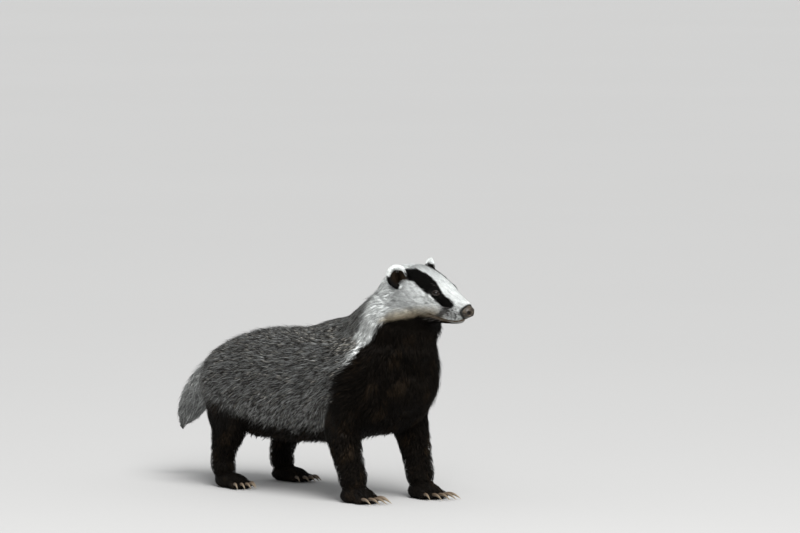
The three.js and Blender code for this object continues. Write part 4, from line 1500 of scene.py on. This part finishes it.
def hair_group() -> bpy.types.NodeTree:
    """The shared effect of hair: bands from root to tip with lighter tips, painted shade that darkens the
    roots, and fine lines along a tuft.

    Returns:
        The node group, made once.
    """
    found = bpy.data.node_groups.get("hair_tones")
    if found:
        return found
    tree = bpy.data.node_groups.new("hair_tones", "ShaderNodeTree")
    for way, name, kind in (
        ("INPUT", "Tone", "Color"), ("INPUT", "Grizzle", "Float"), ("INPUT", "Strand", "Vector"),
        ("INPUT", "Root Shade", "Float"), ("INPUT", "Variety", "Float"),
        ("OUTPUT", "Color", "Color"), ("OUTPUT", "Height", "Float"), ("OUTPUT", "Roughness", "Float"),
    ):
        tree.interface.new_socket(name, in_out=way, socket_type=f"NodeSocket{kind}")
    knots = Knots(tree)
    given = knots.add("NodeGroupInput").outputs
    split = knots.add("ShaderNodeSeparateXYZ", {0: given["Strand"]}).outputs
    lines = knots.add("ShaderNodeCombineXYZ", {
        0: knots.math("MULTIPLY", split[0], 2.6), 1: knots.math("MULTIPLY", split[1], 1.3),
        2: knots.math("MULTIPLY", split[2], 91.0),
    }).outputs[0]
    fine = knots.noise(lines, 1.6, 1.0)
    slid = knots.math("ADD", split[1], knots.math("MULTIPLY_ADD", split[2], 0.5, -0.25))
    banded = knots.ramp(slid, [
        (0.0, (0.34, 0.30, 0.24)), (0.30, (0.44, 0.42, 0.38)), (0.44, (0.06, 0.054, 0.048)),
        (0.68, (0.035, 0.032, 0.03)), (0.88, (0.60, 0.61, 0.60)), (1.0, (0.80, 0.81, 0.80)),
    ])
    banded = knots.blend(1.0, banded, knots.blend(0.6, (1, 1, 1, 1), given["Tone"]), "MULTIPLY")
    # Painted shade: plain hair is darkened at its roots by Root Shade and lightens towards its tip.
    lift = knots.math("ADD", given["Root Shade"], knots.math(
        "MULTIPLY", split[1], knots.math("SUBTRACT", 1.08, given["Root Shade"])))
    chance = knots.math("MULTIPLY", knots.math("SUBTRACT", split[2], 0.5), given["Variety"])
    lift = knots.math("MULTIPLY", lift, knots.math("ADD", chance, 1.0))
    lift = knots.math("MULTIPLY", lift, knots.math("MULTIPLY_ADD", fine, 1.5, 0.2))
    grey = knots.add("ShaderNodeCombineColor", {0: lift, 1: lift, 2: lift}).outputs[0]
    plain = knots.blend(1.0, given["Tone"], grey, "MULTIPLY")
    colour = knots.blend(given["Grizzle"], plain, banded)
    rough = knots.math("MULTIPLY_ADD", fine, 0.25, 0.45)
    knots.add("NodeGroupOutput", {"Color": colour, "Height": fine, "Roughness": rough})
    return tree


@dataclass(frozen=True)
class FurFinish:
    """One kind of hair: how dark the painted shade at its roots is, how it varies and how it shines."""

    name: str
    root_shade: float
    variety: float
    gloss: float = 0.35

    def tuft_material(self) -> bpy.types.Material:
        """The material of its tufts, made once."""
        found = bpy.data.materials.get(self.name)
        if found:
            return found
        material, knots, shader = new_material(self.name)
        group = knots.add("ShaderNodeGroup", {
            "Tone": knots.attribute("tone", "Color"), "Grizzle": knots.attribute("grizzle", "Fac"),
            "Strand": knots.attribute("strand", "Vector"), "Root Shade": self.root_shade,
            "Variety": self.variety,
        }, node_tree=hair_group())
        finish_shader(knots, shader, {
            "Base Color": group.outputs["Color"], "Roughness": group.outputs["Roughness"],
            "Specular IOR Level": self.gloss,
        }, group.outputs["Height"], 0.5, 0.0003)
        return material

    def skin_material(self) -> bpy.types.Material:
        """The material of the skin: short combed under-fur, and leather where it is bare."""
        material, knots, shader = new_material(f"{self.name}_under")
        comb = knots.attribute("comb", "Vector")
        bare = knots.attribute("bare", "Fac")
        hairs, grain = knots.noise(comb, 1.3, 3.0), knots.noise(comb, 2.4, 2.0)
        tint = knots.blend(knots.math("MULTIPLY_ADD", hairs, 0.9, 0.05), (0.42, 0.4, 0.38, 1), (1, 1, 1, 1))
        pebbles = knots.blend(grain, (0.6, 0.6, 0.6, 1), (1.3, 1.2, 1.2, 1))
        tone = knots.attribute("tone", "Color")
        colour = knots.blend(1.0, tone, tint, "MULTIPLY")
        leather = knots.blend(1.0, tone, pebbles, "MULTIPLY")
        height = knots.math("MULTIPLY_ADD", grain, 0.4, hairs)
        finish_shader(knots, shader, {
            "Base Color": knots.blend(bare, colour, leather),
            "Roughness": knots.math("MULTIPLY_ADD", bare, -0.25, 0.8), "Specular IOR Level": 0.12,
        }, height, 0.7, 0.0006)
        return material


@dataclass(frozen=True)
class NoseFinish:
    """Damp pebbled leather, grey-brown, with painted shade in the nostrils and the groove."""

    name: str = "nose_leather"

    def material(self) -> bpy.types.Material:
        """Makes the material."""
        material, knots, shader = new_material(self.name)
        place = knots.attribute("own", "Vector")
        cells = knots.add("ShaderNodeTexVoronoi", {"Vector": place, "Scale": 1.15, "Randomness": 0.9},
                          feature="SMOOTH_F1").outputs[0]
        fine = knots.noise(place, 2.6, 3.0)
        mottle = knots.noise(place, 0.22, 3.0)
        colour = knots.ramp(mottle, [
            (0.3, (0.012, 0.008, 0.006)), (0.5, (0.027, 0.020, 0.013)), (0.72, (0.060, 0.046, 0.031)),
        ])
        # Painted shade: the attribute dark darkens the nostrils and the groove.
        colour = knots.blend(knots.attribute("dark", "Fac"), colour, (0.008, 0.005, 0.005, 1))
        height = knots.math("MULTIPLY_ADD", fine, 0.25, knots.math("SUBTRACT", 1.0, cells))
        finish_shader(knots, shader, {
            "Base Color": colour, "Roughness": knots.math("MULTIPLY_ADD", fine, 0.3, 0.3),
            "Specular IOR Level": 0.3, "Coat Weight": knots.math("MULTIPLY", mottle, 0.3),
            "Coat Roughness": 0.25,
        }, height, 0.55, 0.0005)
        return material


@dataclass(frozen=True)
class EyeFinish:
    """A wet dark eye: brown iris with fine rays round a black pupil."""

    name: str = "eye_wet"

    def material(self) -> bpy.types.Material:
        """Makes the material."""
        material, knots, shader = new_material(self.name)
        place = knots.attribute("own", "Vector")
        split = knots.add("ShaderNodeSeparateXYZ", {0: place}).outputs
        squares = [knots.math("POWER", split[axis], 2.0) for axis in (0, 1)]
        off = knots.math("SQRT", knots.math("ADD", *squares))
        rays = knots.noise(place, 3.0, 4.0)
        reach = knots.math("MULTIPLY_ADD", rays, 0.10, off)
        colour = knots.ramp(reach, [
            (0.40, (0.001, 0.001, 0.001)), (0.48, (0.005, 0.0025, 0.0015)), (0.68, (0.009, 0.0045, 0.002)),
            (0.80, (0.004, 0.003, 0.002)), (0.95, (0.012, 0.009, 0.008)),
        ])
        finish_shader(knots, shader, {
            "Base Color": colour, "Roughness": knots.math("MULTIPLY_ADD", rays, 0.05, 0.03),
            "Coat Weight": 0.35, "Coat Roughness": 0.02, "Specular IOR Level": 0.05,
        }, rays, 0.06, 0.0002)
        return material


@dataclass(frozen=True)
class WetSkinFinish:
    """Moist bare skin: the rims of the lids and the fleshy corner of the eye."""

    name: str
    deep: Colour
    light: Colour

    def material(self) -> bpy.types.Material:
        """Makes the material."""
        material, knots, shader = new_material(self.name)
        place = knots.add("ShaderNodeTexCoord").outputs["Object"]
        patches, grain = knots.noise(place, 900.0, 3.0), knots.noise(place, 3200.0, 2.0)
        colour = knots.blend(patches, (*self.deep, 1), (*self.light, 1))
        finish_shader(knots, shader, {
            "Base Color": colour, "Roughness": knots.math("MULTIPLY_ADD", grain, 0.25, 0.25),
            "Specular IOR Level": 0.2, "Coat Weight": 0.3, "Coat Roughness": 0.2,
        }, grain, 0.35, 0.0003)
        return material


@dataclass(frozen=True)
class HornFinish:
    """Claw horn: brown and ridged along its length, paler and scuffed towards its point."""

    name: str = "claw_horn"

    def material(self) -> bpy.types.Material:
        """Makes the material."""
        material, knots, shader = new_material(self.name)
        place = knots.attribute("own", "Vector")
        split = knots.add("ShaderNodeSeparateXYZ", {0: place}).outputs
        ridges = knots.noise(knots.add("ShaderNodeCombineXYZ", {
            0: knots.math("MULTIPLY", split[0], 0.5), 1: knots.math("MULTIPLY", split[1], 3.0), 2: split[2],
        }).outputs[0], 2.2, 3.0)
        stain = knots.noise(place, 0.9, 4.0)
        patchy = knots.math("MULTIPLY_ADD", stain, 0.4, -0.2)
        reach = knots.math("ADD", knots.math("MULTIPLY", split[0], 0.25), patchy)
        colour = knots.ramp(reach, [
            (0.0, (0.045, 0.03, 0.02)), (0.35, (0.14, 0.10, 0.065)), (0.75, (0.30, 0.24, 0.165)),
            (1.0, (0.42, 0.36, 0.27)),
        ])
        colour = knots.blend(knots.math("MULTIPLY", ridges, 0.55), colour, (0.03, 0.02, 0.014, 1))
        finish_shader(knots, shader, {
            "Base Color": colour, "Roughness": knots.math("MULTIPLY_ADD", ridges, 0.3, 0.28),
        }, ridges, 0.5, 0.0005)
        return material


@dataclass(frozen=True)
class WhiskerFinish:
    """Stiff whiskers, dark at the root and horn-coloured to the point."""

    name: str = "whisker_hair"

    def material(self) -> bpy.types.Material:
        """Makes the material."""
        material, knots, shader = new_material(self.name)
        along = knots.attribute("along", "Fac")
        grain = knots.noise(knots.add("ShaderNodeTexCoord").outputs["Object"], 400.0, 2.0)
        colour = knots.ramp(knots.math("MULTIPLY_ADD", grain, 0.2, along), [
            (0.1, (0.015, 0.012, 0.01)), (0.6, (0.05, 0.042, 0.036)), (1.0, (0.30, 0.28, 0.26)),
        ])
        finish_shader(knots, shader, {
            "Base Color": colour, "Roughness": knots.math("MULTIPLY_ADD", grain, 0.2, 0.3),
        }, grain, 0.2, 0.0001)
        return material


@dataclass(frozen=True)
class EyeSet:
    """One eye: the ball, the moist rims of its lids and the fleshy inner corner."""

    sign: int
    half_long: float = 6.2
    half_high: float = 4.0
    slant: float = 0.10
    lid: float = 1.0

    @property
    def side(self) -> str:
        """The side's name."""
        return "left" if self.sign > 0 else "right"

    @property
    def pose(self) -> Pose:
        """The eye's own frame in the head's: +X along the head, +Y up the lids, +Z the way it looks."""
        look = unit(np.array([EYE_LOOK[0], self.sign * EYE_LOOK[1], EYE_LOOK[2]]))
        along = unit(np.array([1.0, 0, 0]) - look * look[0])
        up = np.cross(look, along)
        if up[2] < 0:
            up = -up
        turn = np.stack([along, up, look], axis=1)
        return Pose(turn, (EYE_SPOT[0], self.sign * EYE_SPOT[1], EYE_SPOT[2]))

    def to_row(self, own: Array) -> Array:
        """The eye's own places in the row's metres."""
        return HEAD.to_row(self.pose.to_badger(own))

    def lid_height(self, upper: Array) -> Array:
        """How high the almond between the lids is over its middle line, or deep under it."""
        return self.half_high * np.where(upper, 1.05, 0.9)

    def opening(self, own: Array) -> Array:
        """How far each place lies from the middle of the almond between the lids: 1 on its edge."""
        high = own[:, 1] - self.slant * own[:, 0]
        across = np.abs(own[:, 0]) / self.half_long
        return np.sqrt(across**2.0 + (np.abs(high) / self.lid_height(high > 0)) ** 2.0)

    def press_lids(self, head: Array) -> Array:
        """Moves the head's surface to lids that lie on the ball, and in behind it where the eye is open.

        Args:
            head: Places of the head's surface, in its own frame.

        Returns:
            The moved places.
        """
        own = self.pose.from_badger(head)
        flat = np.hypot(own[:, 0] / 1.15, own[:, 1])
        near = smooth(13.5, 7.2, flat) * (own[:, 2] > -6)
        lid_radius = EYE_RADIUS + self.lid
        dome = np.sqrt(np.maximum(lid_radius**2 - np.minimum(flat, lid_radius * 0.93) ** 2, 0))
        fold = -0.7 * np.exp(-(((flat - 7.6) / 0.9) ** 2)) + 0.5 * np.exp(-(((flat - 9.4) / 1.4) ** 2))
        level = dome + fold
        open_share = smooth(1.06, 0.86, self.opening(own)) * (own[:, 2] > -6)
        level = level - open_share * (self.lid + 2.2)
        own[:, 2] = own[:, 2] * (1 - near) + level * near
        return self.pose.to_badger(own)

    def build(self) -> None:
        """Makes ball, lid rims and corner."""
        ball = bmesh.new()
        made = bmesh.ops.create_uvsphere(ball, u_segments=48, v_segments=32, radius=EYE_RADIUS)
        own = places_of(made["verts"])
        bulge = np.exp(-((np.hypot(own[:, 0], own[:, 1]) / 3.6) ** 2)) * (own[:, 2] > 0) * 0.25
        own[:, 2] += bulge
        set_places(made["verts"], self.to_row(own))
        eye = object_from(f"eyeball_{self.side}", ball)
        share = own / EYE_RADIUS
        set_vector(eye.data, "own", share)
        eye.data.materials.append(EyeFinish(f"eye_wet_{self.side}").material())
        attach(eye, BODY)
        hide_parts(f"eye_{self.side}")
        # The lid rims' grey is partly the skin's own dark colour and partly painted sheen: its paler tones
        # stand in for the light that the wet rims catch. The corner keeps its own fleshy colour.
        for piece, deep, light in (
            (self.rim(), (0.022, 0.018, 0.016), (0.06, 0.05, 0.044)),
            (self.corner(), (0.010, 0.004, 0.003), (0.03, 0.012, 0.009)),
        ):
            piece.data.materials.append(WetSkinFinish(piece.name, deep, light).material())
            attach(piece, BODY)

    def rim(self) -> bpy.types.Object:
        """The lids' moist rims, a thin tube that follows the almond over the ball.

        Returns:
            Its object.
        """
        round_ring = 6.0
        shape = bmesh.new()
        ring = bmesh.ops.create_circle(shape, segments=10, radius=0.62)["verts"]
        bmesh.ops.translate(shape, verts=ring, vec=(round_ring, 0, 0))
        bmesh.ops.rotate(
            shape, verts=ring, cent=(round_ring, 0, 0), matrix=Matrix.Rotation(math.pi / 2, 3, "X")
        )
        bmesh.ops.spin(
            shape, geom=shape.verts[:] + shape.edges[:], cent=(0, 0, 0), axis=(0, 0, 1), dvec=(0, 0, 0),
            angle=2 * math.pi, steps=56, use_merge=True, use_duplicate=False,
        )
        bmesh.ops.remove_doubles(shape, verts=shape.verts, dist=1e-4)
        own = places_of(shape.verts)
        angle, reach = np.arctan2(own[:, 1], own[:, 0]), np.hypot(own[:, 0], own[:, 1]) - round_ring
        x = np.cos(angle) * (self.half_long + reach)
        y = np.sin(angle) * (self.lid_height(np.sin(angle) > 0) + reach) + self.slant * x
        flat = np.minimum(np.hypot(x, y), EYE_RADIUS + 0.35)
        base = np.sqrt(np.maximum((EYE_RADIUS + 0.42) ** 2 - flat**2, 0.1))
        placed = np.stack([x, y, base + own[:, 2] * 0.8], axis=1)
        set_places(shape.verts, self.to_row(placed))
        return object_from(f"lid_rim_{self.side}", shape)

    def corner(self) -> bpy.types.Object:
        """The reddish fleshy corner at the front of the eye.

        Returns:
            Its object.
        """
        shape = bmesh.new()
        verts, ball = ball_in(shape, 20, 14)
        own = ball * (1.6, 1.0, 0.8)
        own[:, 1] *= 1.0 - 0.25 * (own[:, 0] / 1.6)
        set_places(verts, self.to_row(own + (5.5, 0.7, 2.7)))
        return object_from(f"eye_corner_{self.side}", shape)


@dataclass(frozen=True)
class Nose:
    """The broad nose leather with comma-shaped nostrils and a groove down its middle."""

    around: int = 120
    along: int = 96

    def build(self) -> None:
        """Makes the nose."""
        shape = bmesh.new()
        verts, _ = ball_in(shape, self.around, self.along)
        bmesh.ops.rotate(shape, verts=verts, cent=(0, 0, 0), matrix=Matrix.Rotation(math.pi / 2, 3, "Y"))
        ball = places_of(verts)
        reach = 0.93 + 0.07 * np.abs(ball) ** 0.6
        own = ball * np.array(NOSE_HALF) * reach
        front = smooth(-2, 9, own[:, 0])
        aside, rise = np.abs(own[:, 1]), own[:, 2]
        own[:, 0] -= 1.5 * smooth(3, 11, -rise) * front
        groove = np.exp(-((own[:, 1] / 0.9) ** 2)) * smooth(4.5, -1, rise) * front
        own[:, 0] -= groove * 1.3
        pit = np.hypot((aside - 6.9) / 3.8, (rise + 0.1 - 0.12 * (aside - 6)) / 4.0)
        slit = np.hypot((aside - 10.4) / 3.6, (rise + 1.0 + 0.4 * (aside - 10.4)) / 1.0)
        comma = smooth(1.1, 0.5, slit) * smooth(-1, 3, own[:, 0])
        hole = np.maximum(smooth(1.12, 0.55, pit) * (own[:, 0] > 4), comma)
        lip = np.exp(-(((pit - 1.35) / 0.28) ** 2)) * front
        depth = hole * np.where(pit < 1.2, 6.0, 3.2)
        inward = unit(own * (1.0, 0.55, 0.4))
        own = own - inward * depth[:, None] + inward * (0.45 * lip)[:, None]
        set_places(verts, HEAD.to_row(own + NOSE_SPOT))
        nose = object_from("nose_pad", shape)
        set_vector(nose.data, "own", own)
        # Painted shade in the nostril holes and down the groove.
        set_number(nose.data, "dark", np.clip(hole * 1.3 + 0.5 * groove, 0, 1))
        nose.data.materials.append(NoseFinish().material())
        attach(nose, BODY)
        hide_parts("nose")


@dataclass(frozen=True)
class Claws:
    """The twenty claws: long on the forefeet for digging, short on the hind feet."""

    lowest: float = 0.3

    def build(self) -> None:
        """Makes every claw in place of its node."""
        horn = HornFinish().material()
        for leg in LEGS:
            for number, toe in enumerate(leg.paw.toes(), start=1):
                self.claw(leg, leg.paw.claw_loft(toe), number, horn)

    def claw(self, leg: Leg, loft: Loft, number: int, horn: bpy.types.Material) -> None:
        """Makes one claw.

        Args:
            leg: Its leg.
            loft: Its shape, in the paw's frame.
            number: Its toe, from the inner one.
            horn: Its material.
        """
        shape = bmesh.new()
        verts, ball = ball_in(shape, loft.around, loft.along)
        share, angle = polar(ball)
        spots = loft.surface(share, angle)
        spots[:, 2] = np.maximum(spots[:, 2], self.lowest)
        set_places(verts, leg.paw.pose.to_row(spots))
        claw = object_from(f"claw_{leg.end}_{leg.side}_{number}", shape)
        own = np.stack([share * 4, np.cos(angle) * 1.5, np.sin(angle) * 1.5], axis=1)
        set_vector(claw.data, "own", own)
        claw.data.materials.append(horn)
        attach(claw, BODY)
        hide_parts(f"{leg.end}claw_{leg.side}_{number}")


@dataclass(frozen=True)
class Whiskers:
    """Stiff whiskers on the muzzle and a few over the eyes."""

    rows: int = 4
    each: int = 5

    def build(self) -> None:
        """Makes the whiskers as thin tapered hairs with four sides."""
        draw = np.random.default_rng(SEED + 1)
        shape = bmesh.new()
        shares: list[float] = []
        for sign in SIDES.values():
            for row in range(self.rows):
                for step in range(self.each):
                    root = np.array([
                        100 - 5.0 * step - 1.2 * row, sign * (13 + 1.1 * step), 3.5 - 4.2 * row - 0.5 * step,
                    ])
                    way = np.array([-0.35 - 0.05 * step, sign * 0.9, 0.12 - 0.16 * row])
                    way = unit(way + draw.normal(0, 0.07, 3))
                    self.hair(shape, shares, root, way, draw.uniform(22, 46), draw.uniform(-0.2, 0.1))
            for step in range(2):
                root = np.array([60 - 5.0 * step, sign * 23.0, 33.0 + step])
                way = unit(np.array([-0.9, sign * 0.5, 0.45]) + draw.normal(0, 0.08, 3))
                self.hair(shape, shares, root, way, draw.uniform(7, 10), -0.2)
        made = object_from("whiskers", shape)
        set_number(made.data, "along", np.array(shares))
        made.data.materials.append(WhiskerFinish().material())
        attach(made, BODY)

    @staticmethod
    def hair(
        shape: bmesh.types.BMesh, shares: list[float], root: Array, way: Array, long: float, sag: float
    ) -> None:
        """Adds one whisker as a cone that bends.

        Args:
            shape: The mesh that it is added to.
            shares: How far along its whisker each vertex is. This one's are added at its end.
            root: Its root, in the head's frame.
            way: The way it points.
            long: Its length.
            sag: How far it bends down, as a share of its length.
        """
        made = bmesh.ops.create_circle(shape, segments=4, radius=1.0, cap_ends=True)["verts"]
        rings = [made]
        faces = [face for face in shape.faces if all(vert in made for vert in face.verts)]
        for _ in range(6):
            grown = bmesh.ops.extrude_face_region(shape, geom=faces)["geom"]
            rings.append([item for item in grown if isinstance(item, bmesh.types.BMVert)])
            faces = [item for item in grown if isinstance(item, bmesh.types.BMFace)]
        side = unit(np.cross(way, [0.0, 0.0, 1.0]))
        up = np.cross(side, way)
        for number, ring in enumerate(rings):
            share = number / (len(rings) - 1)
            centre = root + way * (share * long) + np.array([0, 0, 1.0]) * sag * long * share**2
            thick = 0.16 * (1 - share) ** 0.8 + 0.03
            for step, vert in enumerate(ring):
                angle = 2 * math.pi * step / len(ring)
                vert.co = HEAD.to_row(centre + (side * math.cos(angle) + up * math.sin(angle)) * thick)
            shares += [share] * len(ring)


@dataclass(frozen=True)
class Studio:
    """A pale floor, soft light and the camera at the photograph's view."""

    azimuth: float = 50.0
    elevation: float = 4.0
    lens: float = 300.0
    sensor: float = 36.0
    picture: tuple[int, int] = (800, 533)
    scale: float = 0.593  # pixels a millimetre at the badger
    head_pixel: tuple[float, float] = (412.8, 295.0)
    air: float = 0.62
    sky: float = 3.8
    sky_angle: float = 35.0
    sky_from: Triple = (1.8, -0.6, 2.3)
    front: float = 169.0
    front_size: float = 2.1
    front_from: Triple = (3.9, -2.4, 2.85)
    floor_half: float = 60.0

    def floor(self) -> None:
        """Makes the floor."""
        shape = bmesh.new()
        bmesh.ops.create_grid(shape, x_segments=1, y_segments=1, size=self.floor_half)
        floor = object_from("floor", shape)
        material, knots, shader = new_material("floor_paint")
        place = knots.add("ShaderNodeTexCoord").outputs["Object"]
        cloud = knots.noise(place, 0.6, 3.0)
        paint = knots.blend(cloud, (0.40, 0.397, 0.391, 1), (0.415, 0.412, 0.406, 1))
        finish_shader(knots, shader, {"Base Color": paint, "Roughness": 0.9}, cloud, 0.02, 0.001)
        floor.data.materials.append(material)

    def lights(self) -> None:
        """Lights the scene softly from above, so that floor and air come out about equally pale."""
        scene = bpy.context.scene
        world = bpy.data.worlds.new("studio_air")
        world.use_nodes = True
        air = world.node_tree.nodes["Background"]
        air.inputs[0].default_value = (0.97, 0.985, 1.0, 1)
        air.inputs[1].default_value = self.air
        scene.world = world
        scene.view_settings.view_transform = "Standard"
        sky = bpy.data.lights.new("sky_light", "SUN")
        sky.energy, sky.angle = self.sky, math.radians(self.sky_angle)
        front = bpy.data.lights.new("front_panel", "AREA")
        front.energy, front.size = self.front, self.front_size
        for lamp, place in ((sky, self.sky_from), (front, self.front_from)):
            made = bpy.data.objects.new(lamp.name, lamp)
            made.location, made.visible_camera = place, False
            made.rotation_euler = Vector(place).to_track_quat("Z", "Y").to_euler()
            scene.collection.objects.link(made)

    def camera(self) -> None:
        """Sets the camera so that the head falls where the photograph has it."""
        turn, lift = math.radians(self.azimuth), math.radians(self.elevation)
        right = np.array([math.cos(turn), math.sin(turn), 0.0])
        back = np.array([math.sin(turn) * math.cos(lift), -math.cos(turn) * math.cos(lift), math.sin(lift)])
        up = np.cross(back, right)
        head = HEAD.to_row(np.zeros(3))
        metres = 0.001 / self.scale
        aside, below = (pixel - size / 2 for pixel, size in zip(self.head_pixel, self.picture))
        target = head - right * aside * metres + up * below * metres
        distance = self.lens * (self.picture[0] * metres) / self.sensor
        lens = bpy.data.cameras.new("photo_camera")
        lens.lens, lens.sensor_width, lens.clip_end = self.lens, self.sensor, 200.0
        camera = bpy.data.objects.new("photo_camera", lens)
        camera.location = target + back * distance
        camera.rotation_euler = Vector(back).to_track_quat("Z", "Y").to_euler()
        bpy.context.scene.collection.objects.link(camera)
        bpy.context.scene.camera = camera

    def build(self) -> None:
        """Makes floor, lights and camera."""
        self.floor()
        self.lights()
        self.camera()


def main() -> None:
    """Builds the badger, sub-assembly by sub-assembly, and its studio."""
    logging.basicConfig(level=logging.INFO, format="%(name)s: %(message)s")
    find_shift()
    LOG.info("frame shift in mm: %s", np.round(Pose.shift, 2).tolist())
    finishes = {
        "grizzled_coat": FurFinish("grizzled_hair", 0.6, 0.7, 0.1),
        "dark_fur": FurFinish("dark_hair", 0.75, 0.6, 0.06),
        "face_fur": FurFinish("face_hair", 0.75, 0.5, 0.06),
    }
    coat_map, skin = CoatMap(), Skin()
    skin.build()
    skin.dress(coat_map, finishes["dark_fur"])
    LOG.info("skin dressed")
    Coat(skin, coat_map).build(finishes)
    for part in (*(EyeSet(sign) for sign in SIDES.values()), Nose(), Claws(), Whiskers(), Studio()):
        part.build()
        LOG.info("%s built", type(part).__name__)


if __name__ == "__main__":
    main()
